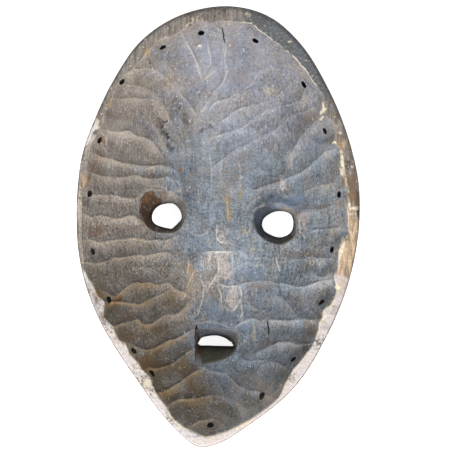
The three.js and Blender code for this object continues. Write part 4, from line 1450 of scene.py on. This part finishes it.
@dataclass
class MaskPiece:
    """The finished mask: its mesh, its openings, and the attributes that its materials read.

    FAR stands for a distance beyond which nothing is drawn, and CLOSE is how near to the face's own surface a
    point of an opening's wall counts as the face.
    """

    form: MaskForm
    SHARP_ANGLE = math.radians(50.0)
    FAR = 9.0
    CLOSE = 0.3

    def build(self, materials: list[bpy.types.Material]) -> bpy.types.Object:
        """Makes the piece.

        Args:
            materials: one for each member of Surface.

        Returns:
            The mask as one closed mesh.
        """
        piece = MeshMaker(self.form).build("mask_wood")
        for material in materials:
            piece.data.materials.append(material)
        Openings(self.form, materials).cut(piece)
        self._mark(piece.data)
        piece.data.shade_smooth()
        piece.data.set_sharp_from_angle(angle=self.SHARP_ANGLE)
        return piece

    def _mark(self, mesh: bpy.types.Mesh) -> None:
        """Writes what the materials need to know about each point.

        Args:
            mesh: the finished mesh, which gets the attributes.
        """
        flat = np.empty(len(mesh.vertices) * 3, dtype=np.float32)
        mesh.vertices.foreach_get("co", flat)
        x, y, z = flat.reshape(-1, 3).T.astype(float) / MM
        depth = self.form.face.whole_depth - z
        outline = self.form.outline
        angle, radius = outline.polar(x, y)
        top = self.form.top(x, y)
        under = self.form.face.depth(x, y)
        to_cut = np.min([opening.near.off(x, y) for opening in OPENINGS], axis=0)
        on_face = np.abs(depth - under) < np.where(to_cut < 0.0, self.CLOSE, np.abs(depth - top["depth"]))
        rim_in = outline.radius(angle) - radius
        edge_in = np.where(on_face, -np.maximum(depth - 1.0, 0.2), rim_in)
        stains, scratches = StainsAndShade(), Scratches()
        tint, stain_and_shade = stains.over(x, y, to_cut)
        scratch_off, scratch_side, scratch_high = scratches.closest(x, y)
        marks = {
            "inside": np.where(on_face, -3.0, top["inside"]),
            "reach": np.where(on_face, 1.0, top["reach"]),
            "crest_off": np.where(on_face, self.FAR, top["crest_off"]),
            "crest_side": top["crest_side"],
            "crest_high": top["crest_high"],
            "scratch_off": np.where(on_face, scratches.reach, scratch_off),
            "scratch_side": scratch_side,
            "scratch_high": scratch_high,
            "edge_in": edge_in,
            # How far a wall's point lies from the face; the painted shade of the openings' walls reads it.
            "to_face": np.abs(depth - under),
            "to_cut": to_cut,
            "faded": stains.faded(x, y),
            "bare": by_angle(outline.bare, angle),
            "golden": by_angle(outline.golden, angle),
            "shaded": by_angle(outline.shaded, angle),
            "stain_and_shade": np.where(on_face, 0.0, stain_and_shade),
            "proud": np.where(on_face, self._proud(x, y) * smoothstep(rim_in, 3.0, 14.0), 0.0),
        }
        for name, values in marks.items():
            attribute = mesh.attributes.new(name, "FLOAT", "POINT")
            attribute.data.foreach_set("value", values.astype(np.float32))
        attribute = mesh.attributes.new("tint", "FLOAT_COLOR", "POINT")
        opaque = np.column_stack([tint, np.ones(len(tint))])
        attribute.data.foreach_set("color", opaque.astype(np.float32).ravel())

    def _proud(self, x: Field, y: Field) -> Field:
        """How far the face stands out of its own neighbourhood."""
        face, reach, angles = self.form.face, 5.0, np.arange(8) * np.pi / 4
        around = [face.depth(x + reach * math.cos(a), y + reach * math.sin(a)) for a in angles]
        return face.depth(x, y) - sum(around) / len(around)


@dataclass
class Graph:
    """Adds and joins the nodes of one tree."""

    tree: bpy.types.NodeTree

    def link(self, start: Wire, end: Wire) -> None:
        """Joins two sockets."""
        self.tree.links.new(start, end)

    def give(self, node: bpy.types.Node, inputs: dict[str | int, object]) -> None:
        """Joins a socket to each named or numbered input, or sets its value."""
        for key, value in inputs.items():
            if isinstance(value, Wire):
                self.link(value, node.inputs[key])
            else:
                node.inputs[key].default_value = value

    def add(self, kind: str, inputs: dict[str | int, object] | None = None,
            **settings: object) -> bpy.types.Node:
        """Adds a node.

        Args:
            kind: Blender's name for the node's type.
            inputs: a socket to join, or a value to set, for each named or numbered input.
            settings: the node's own properties.

        Returns:
            The new node.
        """
        node = self.tree.nodes.new(kind)
        for name, value in settings.items():
            setattr(node, name, value)
        self.give(node, inputs or {})
        return node

    def maths(self, operation: str, *values: object) -> Wire:
        """A sum on numbers or number sockets."""
        return self.add("ShaderNodeMath", dict(enumerate(values)), operation=operation).outputs[0]

    def plus(self, first: object, second: object) -> Wire:
        """The sum of two values."""
        return self.maths("ADD", first, second)

    def minus(self, first: object, second: object) -> Wire:
        """The first value less the second."""
        return self.maths("SUBTRACT", first, second)

    def times(self, first: object, *others: object) -> Wire:
        """The product of the values."""
        for other in others:
            first = self.maths("MULTIPLY", first, other)
        return first

    def line(self, value: object, slope: object, offset: object) -> Wire:
        """The value times a slope, and an offset."""
        return self.maths("MULTIPLY_ADD", value, slope, offset)

    def clamp(self, value: Wire) -> Wire:
        """Holds a value between 0 and 1."""
        return self.add("ShaderNodeClamp", {0: value}).outputs[0]

    def vector(self, operation: str, first: object, second: object) -> Wire:
        """A sum on vectors."""
        other = "Scale" if operation == "SCALE" else 1
        node = self.add("ShaderNodeVectorMath", {0: first, other: second}, operation=operation)
        return node.outputs["Value" if operation in ("DOT_PRODUCT", "DISTANCE") else "Vector"]

    def noise(self, where: Wire, scale: object, **inputs: float) -> bpy.types.Node:
        """A noise texture."""
        return self.add("ShaderNodeTexNoise", {"Vector": where, "Scale": scale, **inputs})

    def ease(self, value: object, low: object, high: object, start: object = 0.0, end: object = 1.0) -> Wire:
        """Goes smoothly from start to end as the value goes from low to high."""
        inputs = {"Value": value, "From Min": low, "From Max": high, "To Min": start, "To Max": end}
        return self.add("ShaderNodeMapRange", inputs, interpolation_type="SMOOTHSTEP").outputs["Result"]

    def blend(self, share: object, first: object, second: object) -> Wire:
        """Mixes two colours."""
        node = self.add("ShaderNodeMix", data_type="RGBA", blend_type="MIX")
        self.give(node, {0: share, 6: first, 7: second})
        return node.outputs[2]

    def lay(self, base: object, tint: object, *shares: object) -> Wire:
        """Lays a colour over another, as far as the product of the shares."""
        return self.blend(self.times(*shares), base, tint)

    def mark(self, name: str, output: str = "Fac") -> Wire:
        """Reads a number, or with the output Color a colour, that the mesh carries."""
        return self.add("ShaderNodeAttribute", attribute_name=name).outputs[output]

    def group(self, tree: bpy.types.NodeTree, **values: object) -> Wire:
        """Places a shared effect and gives its first output."""
        node = self.add("ShaderNodeGroup", node_tree=tree)
        self.give(node, {name.title(): value for name, value in values.items()})
        return node.outputs[0]


class Effects:
    """The node groups that more than one material uses."""

    def __init__(self) -> None:
        """Builds each group once."""
        self.patches = self._patches()
        self.fibres = self._fibres()
        self.specks = self._specks()
        self.crack = self._crack()

    @staticmethod
    def _start(name: str, output: str, **inputs: float | Floats) -> tuple[Graph, dict[str, Wire], Wire]:
        """A new group with a Vector input, named inputs and one output.

        Args:
            name: the group's name.
            output: the name of its output.
            inputs: each further input with its usual value, a number or a vector.

        Returns:
            The group's graph, its inputs by name in small letters, and the socket that takes its output.
        """
        tree = bpy.data.node_groups.new(name, "ShaderNodeTree")
        tree.interface.new_socket("Vector", in_out="INPUT", socket_type="NodeSocketVector")
        for key, value in inputs.items():
            kind = "NodeSocketVector" if isinstance(value, tuple) else "NodeSocketFloat"
            tree.interface.new_socket(key.title(), in_out="INPUT", socket_type=kind).default_value = value
        tree.interface.new_socket(output, in_out="OUTPUT", socket_type="NodeSocketFloat")
        graph = Graph(tree)
        given = {socket.name.lower(): socket for socket in graph.add("NodeGroupInput").outputs}
        return graph, given, graph.add("NodeGroupOutput").inputs[0]

    def _patches(self) -> bpy.types.NodeTree:
        """Soft patches of a size in millimetres, from 0 to 1."""
        graph, given, result = self._start("Patches", "Mask", size=20.0, low=0.4, high=0.6, seed=0.0)
        moved = graph.vector("ADD", given["vector"], given["seed"])
        noise = graph.noise(moved, graph.maths("DIVIDE", 1000.0, given["size"]), Detail=3.0, Roughness=0.55)
        graph.link(graph.ease(noise.outputs["Fac"], given["low"], given["high"]), result)
        return graph.tree

    def _fibres(self) -> bpy.types.NodeTree:
        """The wood's fibres along y, of a width in millimetres, from 0 to 1."""
        graph, given, result = self._start("Fibres", "Value", width=1.0, length=14.0)
        short = graph.maths("DIVIDE", 1.0, given["length"])
        squeeze = graph.add("ShaderNodeCombineXYZ", {"X": 1.0, "Y": short, "Z": 1.0})
        drawn = graph.vector("MULTIPLY", given["vector"], squeeze.outputs[0])
        scale = graph.maths("DIVIDE", 1000.0, given["width"])
        noise = graph.noise(drawn, scale, Detail=2.0, Roughness=0.6, Distortion=0.3)
        graph.link(graph.ease(noise.outputs["Fac"], 0.3, 0.7), result)
        return graph.tree

    def _specks(self) -> bpy.types.NodeTree:
        """Scattered specks of a size in millimetres, on a share of their places."""
        graph, given, result = self._start("Specks", "Mask", size=0.8, share=0.1)
        scale = graph.maths("DIVIDE", 500.0, given["size"])
        cells = graph.add("ShaderNodeTexVoronoi", {"Vector": given["vector"], "Scale": scale})
        pick = graph.add("ShaderNodeSeparateColor", {"Color": cells.outputs["Color"]})
        chosen = graph.maths("LESS_THAN", pick.outputs[0], given["share"])
        graph.link(graph.times(chosen, graph.ease(cells.outputs["Distance"], 0.42, 0.15)), result)
        return graph.tree

    def _crack(self) -> bpy.types.NodeTree:
        """A dark split between two points of the plan, its width in millimetres."""
        ends = {"start": (0.0, 0.0, 0.0), "end": (0.0, 0.01, 0.0)}
        graph, given, result = self._start("Crack", "Mask", **ends, width=0.5)
        noise = graph.noise(given["vector"], 260.0, Detail=2.0)
        sway = graph.vector("SUBTRACT", noise.outputs["Color"], (0.5, 0.5, 0.5))
        swayed = graph.vector("ADD", given["vector"], graph.vector("SCALE", sway, 0.002))
        plan = graph.vector("MULTIPLY", swayed, (1.0, 1.0, 0.0))
        away = graph.vector("SUBTRACT", plan, given["start"])
        run = graph.vector("SUBTRACT", given["end"], given["start"])
        square = graph.vector("DOT_PRODUCT", run, run)
        along = graph.clamp(graph.maths("DIVIDE", graph.vector("DOT_PRODUCT", away, run), square))
        gap = graph.vector("DISTANCE", away, graph.vector("SCALE", run, along))
        middle = graph.maths("ABSOLUTE", graph.line(along, 2.0, -1.0))
        taper = graph.minus(1.05, graph.maths("POWER", middle, 3.0))
        half = graph.times(given["width"], 0.0005, taper)
        graph.link(graph.ease(gap, graph.times(half, 1.6), graph.times(half, 0.5)), result)
        return graph.tree


class Paint(Graph):
    """The tree of one material, which starts empty, with the shared effects at hand."""

    def __init__(self, name: str, effects: Effects | None = None) -> None:
        """Starts the material.

        Args:
            name: the material's name.
            effects: the shared effects, for a material that has any.
        """
        self.material = bpy.data.materials.new(name)
        self.material.use_nodes = True
        super().__init__(self.material.node_tree)
        self.tree.nodes.clear()
        self.effects = effects
        self.where = self.add("ShaderNodeTexCoord").outputs["Object"] if effects else None

    def patch(self, size: float, low: float = 0.4, high: float = 0.6, seed: float = 0.0,
              where: Wire | None = None) -> Wire:
        """Soft patches of a size in millimetres, from 0 to 1 as their noise goes from low to high."""
        place = self.where if where is None else where
        return self.group(self.effects.patches, vector=place, size=size, low=low, high=high, seed=seed)

    def fibres(self, width: float, length: float) -> Wire:
        """Fibres of a width and a length in millimetres."""
        return self.group(self.effects.fibres, vector=self.where, width=width, length=length)

    def specks(self, size: float, share: object, where: Wire | None = None) -> Wire:
        """Specks of a size in millimetres on a share of their places."""
        place = self.where if where is None else where
        return self.group(self.effects.specks, vector=place, size=size, share=share)

    def stain_and_shade(self, base: Wire, fine: Wire) -> Wire:
        """Lays the stains and the painted shade over a colour, with edges broken up by a fine pattern."""
        worn = self.line(fine, 0.8, -0.4)
        share = self.ease(self.plus(self.mark("stain_and_shade"), worn), 0.0, 1.0)
        return self.blend(share, base, self.mark("tint", "Color"))

    def bump(self, height: Wire, strength: float, distance: float) -> Wire:
        """The normal of a fine relief, whose distance is in metres."""
        inputs = {"Height": height, "Strength": strength, "Distance": distance}
        return self.add("ShaderNodeBump", inputs).outputs[0]

    def done(self, surface: dict[str, object]) -> bpy.types.Material:
        """Ends the tree with a surface, and gives the finished material."""
        shader = self.add("ShaderNodeBsdfPrincipled", surface)
        self.add("ShaderNodeOutputMaterial", {"Surface": shader.outputs[0]})
        return self.material


@dataclass(frozen=True)
class CarvedWood:
    """The old wood of the mask: smoked grey in the hollow, bare or golden on its rim, dark on its face.

    The colours and weights here were judged against the photograph. Sizes of patches, fibres and
    specks are in millimetres, and every share goes from 0 to 1.
    """

    left_dark: Floats = colour(91, 82, 74)
    left_light: Floats = colour(195, 183, 171)
    # Dark specks of the smoked wood, and the colour of the painted shade above the crests.
    left_deep: Floats = colour(48, 42, 36)
    right_dark: Floats = colour(79, 88, 96)
    right_light: Floats = colour(177, 188, 201)
    crown_dark: Floats = colour(79, 83, 92)
    crown_light: Floats = colour(181, 183, 195)
    brown: Floats = colour(118, 97, 62)
    crest_warm: Floats = colour(206, 176, 134)
    crest_cool: Floats = colour(196, 200, 204)
    # Orange of worn crest tops, and of the painted highlight on the crests' chin side.
    crest_wear_and_light: Floats = colour(202, 164, 110)
    speck: Floats = colour(228, 222, 212)
    crack: Floats = colour(20, 16, 13)
    worn: Floats = colour(206, 188, 166)
    rim_dark: Floats = colour(152, 143, 135)
    rim_bare: Floats = colour(209, 200, 199)
    rim_gold: Floats = colour(226, 194, 158)
    rim_stain: Floats = colour(84, 70, 56)
    rim_shaded: Floats = colour(95, 100, 105)
    rim_line: Floats = colour(104, 96, 90)
    edge_pale: Floats = colour(222, 208, 184)
    patina: Floats = colour(46, 37, 31)
    handled: Floats = colour(82, 60, 44)
    soot: Floats = colour(24, 20, 17)
    rubbed: Floats = colour(118, 84, 58)
    roughness: float = 0.78
    gloss: float = 0.42
    cracks: tuple[tuple[Floats, Floats, float], ...] = (
        ((0.0020, 0.1100, 0.0), (0.0032, 0.1020, 0.0), 0.7),
        ((0.0268, -0.0530, 0.0), (0.0280, -0.0620, 0.0), 0.7),
        ((-0.0134, -0.0555, 0.0), (-0.0130, -0.0775, 0.0), 1.9),
    )

    def material(self, effects: Effects) -> bpy.types.Material:
        """Builds the node material.

        Args:
            effects: the shared effects.

        Returns:
            The finished material.
        """
        p = Paint("carved_wood", effects)
        fine, fibres = p.patch(1.5, 0.3, 0.7), p.fibres(1.1, 16.0)
        hollow, hollow_height = self._hollow(p, fine, fibres)
        rim = self._rim(p, fine)
        outside, gloss, face_height = self._outside(p, fine, fibres)
        ragged = p.line(p.patch(3.0), 0.5, -0.25)
        inside = p.plus(p.mark("inside"), ragged)
        outer = p.line(p.patch(8.0, 0.4, 0.75, 3.0), -2.6, -0.1)
        pale = p.times(p.ease(inside, outer, p.plus(outer, 0.4)), p.ease(inside, 1.1, 0.4))
        fared = p.maths("MAXIMUM", p.mark("bare"), p.mark("golden"))
        fared = p.maths("MAXIMUM", fared, p.mark("shaded"))
        broken = p.times(p.patch(9.0, 0.4, 0.5, 13.0), p.ease(fared, 0.25, 0.8, 0.1, 0.95))
        base = p.blend(p.ease(inside, 0.45, 0.05), hollow, rim)
        base = p.lay(base, self.edge_pale, pale, broken)
        on_face = p.ease(p.plus(p.mark("edge_in"), ragged), 0.5, 0.0)
        base = p.blend(on_face, base, outside)
        cracks = p.times(self._cracked(p), p.ease(on_face, 1.0, 0.0))
        base = p.blend(cracks, base, self.crack)
        height = p.line(p.minus(face_height, hollow_height), on_face, hollow_height)
        height = p.minus(height, p.times(cracks, 2.0))
        return p.done({
            "Base Color": base, "Roughness": p.ease(on_face, 0.0, 1.0, self.roughness, gloss),
            "Normal": p.bump(height, 0.6, 0.0003), "Specular IOR Level": 0.35,
        })

    def _hollow(self, p: Paint, fine: Wire, fibres: Wire) -> tuple[Wire, Wire]:
        """The colour of the hollow, and the height of its fine relief.

        Args:
            p: the material.
            fine: the fine patches.
            fibres: the wood's fibres.

        Returns:
            The colour and the height.
        """
        parts = p.add("ShaderNodeSeparateXYZ", {0: p.where})
        x, y = parts.outputs["X"], parts.outputs["Y"]
        across = p.plus(x, p.line(p.patch(55.0, 0.2, 0.8, 5.0), 0.05, -0.025))
        side = p.ease(across, -0.065, -0.005)
        warm = p.minus(1.0, side)
        chin, crown = p.ease(y, 0.01, -0.07), p.ease(y, 0.03, 0.07)
        low = p.times(chin, p.ease(across, 0.01, -0.03))
        smoked = p.ease(y, 0.05, 0.01)
        drawn = p.vector("MULTIPLY", p.where, (1.0, 0.55, 1.0))
        hairs = p.fibres(0.95, 4.5)
        tone = self._tone(p, (fine, fibres, hairs, drawn), (warm, low, smoked))
        cool = self._cooled(p, y, side, low)
        dark = p.blend(cool, self.left_dark, p.blend(crown, self.right_dark, self.crown_dark))
        light = p.blend(cool, self.left_light, p.blend(crown, self.right_light, self.crown_light))
        base = p.blend(tone, dark, light)
        base = p.lay(base, self.brown, p.patch(16.0, 0.4, 0.66, 1.0), p.line(low, 0.72, 0.1))
        base = p.stain_and_shade(base, p.line(hairs, 0.6, p.times(fine, 0.4)))
        base = self._crests(p, warm, low, base)
        base = self._scratched(p, base)
        many = p.line(warm, 0.16, p.line(chin, 0.26, 0.06))
        specks = p.specks(0.62, p.line(p.patch(9.0, 0.35, 0.7, 14.0), many, 0.04))
        base = p.lay(base, self.speck, specks, 0.62)
        base = p.lay(base, self.left_deep, p.specks(0.8, p.line(smoked, 0.08, 0.05)), 0.4)
        base = p.lay(base, self.speck, p.specks(1.0, 0.015, drawn), 0.5)
        height = p.plus(fine, p.times(fibres, 0.6))
        return base, p.plus(height, p.times(specks, 0.5))

    @staticmethod
    def _cooled(p: Paint, y: Wire, side: Wire, low: Wire) -> Wire:
        """How far the hollow is cool and blue rather than warm, from its left side to its right.

        Args:
            p: the material.
            y: the place towards the crown.
            side: how far to the right a place is.
            low: how low it is on the warm side.

        Returns:
            The share, from 0 to 1.
        """
        side = p.line(p.minus(p.patch(10.0, 0.32, 0.68, 23.0), 0.6), 0.6, side)
        side = p.line(p.minus(p.patch(2.6, 0.3, 0.7, 24.0), 0.5), 0.45, side)
        side = p.line(p.ease(p.mark("edge_in"), 30.0, 8.0), -0.3, side)
        side = p.line(low, -0.4, side)
        return p.clamp(p.line(p.ease(y, -0.07, -0.1), -0.45, side))

    @staticmethod
    def _tone(p: Paint, patterns: tuple[Wire, ...], zones: tuple[Wire, ...]) -> Wire:
        """How light the smoked wood is, with painted shade where the gouge's strokes run deepest.

        Args:
            p: the material.
            patterns: the fine patches, the fibres, the hairs, and the place drawn out along the fibres.
            zones: how far a place is on the warm side, low on that side, and smoked.

        Returns:
            The lightness, from 0 to 1.
        """
        fine, fibres, hairs, drawn = patterns
        warm, low, smoked = zones
        grained = p.line(smoked, 0.2, p.line(low, 0.42, 0.26))
        layers = (
            (p.patch(0.7, 0.3, 0.7, 11.0, drawn), p.times(grained, p.line(warm, 0.3, 0.7))),
            (hairs, p.ease(warm, 1.0, 0.2, 0.04, 0.17)),
            (fine, p.line(smoked, 0.12, 0.14)),
            (p.fibres(2.0, 5.0), p.line(smoked, 0.06, 0.16)),
            (p.patch(13.0, 0.3, 0.7, 12.0), 0.2),
            (fibres, 0.1),
            # Painted shade: darker where the strokes run deepest, away from the crests.
            (p.mark("reach"), -0.3),
            (p.mark("faded"), 1.0),
        )
        tone: Wire | float = 0.35
        for layer, weight in layers:
            tone = p.line(p.minus(layer, 0.5), weight, tone)
        return p.plus(tone, 0.66)

    def _crests(self, p: Paint, warm: Wire, low: Wire, base: Wire) -> Wire:
        """Rubs the crests pale along their tops, with painted shade on their upper side and a painted
        highlight on their chin side.

        Args:
            p: the material.
            warm: how warm the wood is.
            low: how low it is on the warm side.
            base: the colour so far.

        Returns:
            The colour with the crests.
        """
        side, high = p.mark("crest_side"), p.mark("crest_high")
        near = p.times(p.ease(p.mark("crest_off"), 2.6, 1.2), high)
        worn = p.patch(8.0, 0.38, 0.62, 4.0)
        top = p.ease(p.maths("ABSOLUTE", p.plus(side, 0.15)), p.line(low, 0.6, 0.6), 0.1)
        top = p.times(top, p.line(worn, 0.56, p.line(low, 0.14, 0.06)))
        top = p.times(top, p.line(p.patch(1.8, 0.3, 0.7, 15.0), 0.7, 0.3))
        pale = p.lay(p.blend(warm, self.crest_cool, self.crest_warm), self.crest_wear_and_light, low, 0.7)
        # Painted shade: a broad dark band on each crest's upper side, towards the crown, turned away from the
        # light.
        soot = p.times(p.ease(side, 6.0, 0.4), p.ease(side, 0.0, 0.4), p.line(low, 0.32, 0.1))
        base = p.lay(base, self.left_deep, soot, high)
        # Painted highlight: orange on each crest's chin side, low on the warm side, where the light falls.
        lit = p.times(p.ease(side, -5.5, -0.8), p.ease(side, 0.4, -0.4))
        lit = p.times(lit, p.times(low, p.line(worn, 0.3, 0.08)))
        base = p.lay(base, self.crest_wear_and_light, lit, high)
        # Painted shade: a thin dark line just above each crest's top.
        crest_shade_line = p.times(p.ease(side, 0.2, 0.6), p.ease(side, 2.2, 0.8))
        crest_shade_line = p.times(crest_shade_line, p.line(p.patch(7.0, 0.4, 0.65, 16.0), 0.42, 0.1))
        base = p.lay(base, self.left_deep, near, crest_shade_line)
        return p.lay(base, pale, near, top)

    def _scratched(self, p: Paint, base: Wire) -> Wire:
        """Draws the scratches, which come and go along their length."""
        near = p.times(p.ease(p.mark("scratch_off"), 1.8, 0.9), p.mark("scratch_high"))
        line = p.ease(p.maths("ABSOLUTE", p.mark("scratch_side")), 0.6, 0.15)
        return p.lay(base, self.speck, near, line, p.patch(2.2, 0.32, 0.55, 25.0), 0.85)

    def _rim(self, p: Paint, fine: Wire) -> Wire:
        """The colour of the rim: dark, golden or bare, stained along its fibres.

        Args:
            p: the material.
            fine: the fine patches.

        Returns:
            The colour, with its stains.
        """
        streaks, stains = p.fibres(1.3, 7.0), p.patch(12.0, 0.4, 0.62, 6.0)
        ragged = p.line(p.patch(8.0, seed=7.0), 0.3, -0.15)
        dark = p.lay(self.rim_dark, self.rim_stain, streaks, 0.75)
        smooth = p.lay(self.rim_shaded, self.rim_stain, stains, 0.3)
        gold = p.lay(self.rim_gold, self.rim_stain, streaks, 0.75)
        bare = p.lay(self.rim_bare, self.worn, stains, 0.25)
        base = dark
        for name, start, end, tint in (
            ("shaded", 0.35, 0.65, smooth), ("golden", 0.2, 0.85, gold), ("bare", 0.3, 0.72, bare),
        ):
            base = p.blend(p.ease(p.plus(p.mark(name), ragged), start, end), base, tint)
        base = p.stain_and_shade(p.lay(base, self.rim_dark, fine, 0.12), fine)
        clear = p.ease(p.mark("stain_and_shade"), 0.5, 0.0)
        base = p.lay(base, self.edge_pale, p.patch(2.6, 0.62, 0.68, 26.0), p.times(clear, 0.6))
        line = p.minus(p.ease(p.mark("edge_in"), 1.3, 0.5), p.mark("stain_and_shade"))
        return p.blend(p.clamp(p.times(line, 0.6)), base, self.rim_line)

    def _outside(self, p: Paint, fine: Wire, fibres: Wire) -> tuple[Wire, Wire, Wire]:
        """The colour, the roughness and the fine relief of the face's patina.

        Args:
            p: the material.
            fine: the fine patches.
            fibres: the wood's fibres.

        Returns:
            The colour, the roughness and the height of the relief.
        """
        patch, broken = p.patch(16.0, 0.3, 0.75, 8.0), p.patch(4.5, 0.25, 0.75, 9.0)
        base = p.lay(self.patina, self.handled, patch, p.line(broken, 0.5, 0.2))
        base = p.lay(base, self.soot, fibres, 0.35)
        fret = p.line(broken, 0.5, p.line(fine, 0.3, -0.4))
        rubbed = p.ease(p.plus(p.mark("proud"), fret), 0.2, 1.5)
        base = p.lay(base, self.rubbed, rubbed, p.line(broken, 0.45, 0.3))
        edge = p.ease(p.line(broken, -1.6, p.mark("edge_in")), -2.4, -1.0)
        base = p.lay(base, self.rubbed, edge, 0.6)
        nicks = p.specks(0.9, 0.02)
        base = p.lay(base, self.rubbed, nicks, 0.3)
        rough = p.line(broken, 0.14, p.line(patch, 0.12, self.gloss - 0.1))
        return base, rough, p.line(fibres, 0.3, p.times(nicks, -0.5))

    def _cracked(self, p: Paint) -> Wire:
        """The splits in the hollow, and the slit that a knife left beside the mouth.

        Args:
            p: the material.

        Returns:
            How far a place is inside a split, from 0 to 1.
        """
        total = None
        for start, end, width in self.cracks:
            mask = p.group(p.effects.crack, vector=p.where, start=start, end=end, width=width)
            total = mask if total is None else p.maths("MAXIMUM", total, mask)
        return total


@dataclass(frozen=True)
class CutWood:
    """The steep walls of the eyes and the mouth: browner and rougher than the hollow, and darker with painted
    shade towards the face.
    """

    base: Floats = colour(146, 144, 140)
    pale: Floats = colour(190, 182, 170)
    dark: Floats = colour(74, 64, 54)
    # The near black of the painted shade where the walls reach the face.
    deep: Floats = colour(10, 9, 8)
    roughness: float = 0.85

    def material(self, effects: Effects) -> bpy.types.Material:
        """Builds the node material.

        Args:
            effects: the shared effects.

        Returns:
            The finished material.
        """
        p = Paint("cut_wood", effects)
        fine, patch = p.patch(1.6, 0.3, 0.7), p.patch(6.0, 0.35, 0.65, 2.0)
        base = p.stain_and_shade(p.lay(self.base, self.dark, patch, 0.4), fine)
        base = p.lay(base, self.dark, fine, 0.3)
        base = p.lay(base, self.pale, p.specks(0.8, 0.12), 0.5)
        # Painted shade: the walls darken towards the face, where the hole goes through.
        base = p.lay(base, self.deep, p.ease(p.mark("to_face"), 6.0, 0.4), 0.85)
        lip = p.ease(p.mark("to_cut"), -0.9, -0.3)
        base = p.lay(base, self.pale, lip, patch, 0.4)
        return p.done({
            "Base Color": base, "Roughness": self.roughness, "Normal": p.bump(fine, 0.8, 0.0004),
            "Specular IOR Level": 0.3,
        })


@dataclass(frozen=True)
class BoreWood:
    """The walls of the cord holes, painted near black as the shade inside the narrow holes."""

    # Near black: painted shade inside the narrow holes, with warm patches.
    base: Floats = colour(30, 25, 22)
    warm: Floats = colour(62, 38, 28)
    roughness: float = 0.8

    def material(self, effects: Effects) -> bpy.types.Material:
        """Builds the node material."""
        p = Paint("bore_wood", effects)
        patch = p.patch(3.0, 0.4, 0.7)
        base = p.lay(self.base, self.warm, patch, 0.6)
        return p.done({"Base Color": base, "Roughness": self.roughness, "Normal": p.bump(patch, 0.6, 0.0003)})


@dataclass
class Studio:
    """The floor, the lights and the camera, in metres.

    Attributes:
        floor_glow: how strongly the floor shines for the camera only, so that it looks white.
        eye, target: where the camera stands and what it looks at.
        width_seen: how wide the picture is at the target.
        sensor: the width of the camera's sensor in millimetres.
    """

    floor_half: float = 3.0
    floor_glow: float = 0.86
    eye: Floats = (0.0297, 0.0074, 0.916)
    target: Floats = (0.00453, 0.00055, 0.066)
    width_seen: float = 0.2466
    sensor: float = 36.0
    sky: Floats = (0.93, 0.96, 1.0, 1.0)
    sky_strength: float = 0.56

    def build(self) -> None:
        """Sets the whole studio up."""
        bpy.context.scene.view_settings.view_transform = "Standard"
        self._floor()
        self._camera()
        self._lights()

    def _floor(self) -> None:
        """A plain pale floor under the mask."""
        h = self.floor_half
        mesh = bpy.data.meshes.new("floor")
        mesh.from_pydata([(-h, -h, 0), (h, -h, 0), (h, h, 0), (-h, h, 0)], [], [(0, 1, 2, 3)])
        p = Paint("floor_white")
        seen = p.add("ShaderNodeLightPath").outputs["Is Camera Ray"]
        mesh.materials.append(p.done({
            "Base Color": (0.8, 0.8, 0.8, 1.0), "Roughness": 0.9, "Emission Color": (1.0, 1.0, 1.0, 1.0),
            "Emission Strength": p.times(seen, self.floor_glow),
        }))
        placed("floor", mesh)

    def _camera(self) -> None:
        """The camera, where the photograph was taken from."""
        eye, target = Vector(self.eye), Vector(self.target)
        data = bpy.data.cameras.new("camera")
        data.sensor_width = self.sensor
        data.lens = self.sensor * (eye - target).length / self.width_seen
        camera = placed("camera", data)
        back = (eye - target).normalized()
        right = Vector((0.0, 1.0, 0.0)).cross(back).normalized()
        up = back.cross(right)
        camera.matrix_world = Matrix.Translation(eye) @ Matrix((right, up, back)).transposed().to_4x4()
        bpy.context.scene.camera = camera

    def _lights(self) -> None:
        """An even sky, a soft key from the chin's side, and a cool fill from the right."""
        world = bpy.data.worlds.new("sky")
        world.use_nodes = True
        back = world.node_tree.nodes["Background"]
        back.inputs["Color"].default_value = self.sky
        back.inputs["Strength"].default_value = self.sky_strength
        bpy.context.scene.world = world
        self._lamp("key", (-0.2, -1.0, 0.72), 0.45, 18.0, (1.0, 0.97, 0.93))
        self._lamp("fill", (0.7, 0.2, 1.0), 0.8, 2.0, (0.82, 0.91, 1.0))

    @staticmethod
    def _lamp(name: str, place: Floats, size: float, power: float,
              tint: Floats) -> None:
        """A square soft light that faces the mask.

        Args:
            name: the lamp's name.
            place: where it stands.
            size: its side.
            power: its strength in watts.
            tint: its colour.
        """
        data = bpy.data.lights.new(name, "AREA")
        data.size, data.energy, data.color = size, power, tint
        lamp = placed(name, data)
        lamp.location = place
        lamp.rotation_euler = Vector(place).to_track_quat("Z", "Y").to_euler()


def main() -> None:
    """Builds the studio and the mask."""
    logging.basicConfig(level=logging.INFO, format="%(message)s")
    Studio().build()
    effects = Effects()
    materials = [finish.material(effects) for finish in (CarvedWood(), CutWood(), BoreWood())]
    mask = MaskPiece(MaskForm()).build(materials)
    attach(mask, "root")
    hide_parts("mask")
    LOG.info("%s: %d points, %d faces", mask.name, len(mask.data.vertices), len(mask.data.polygons))


if __name__ == "__main__":
    main()
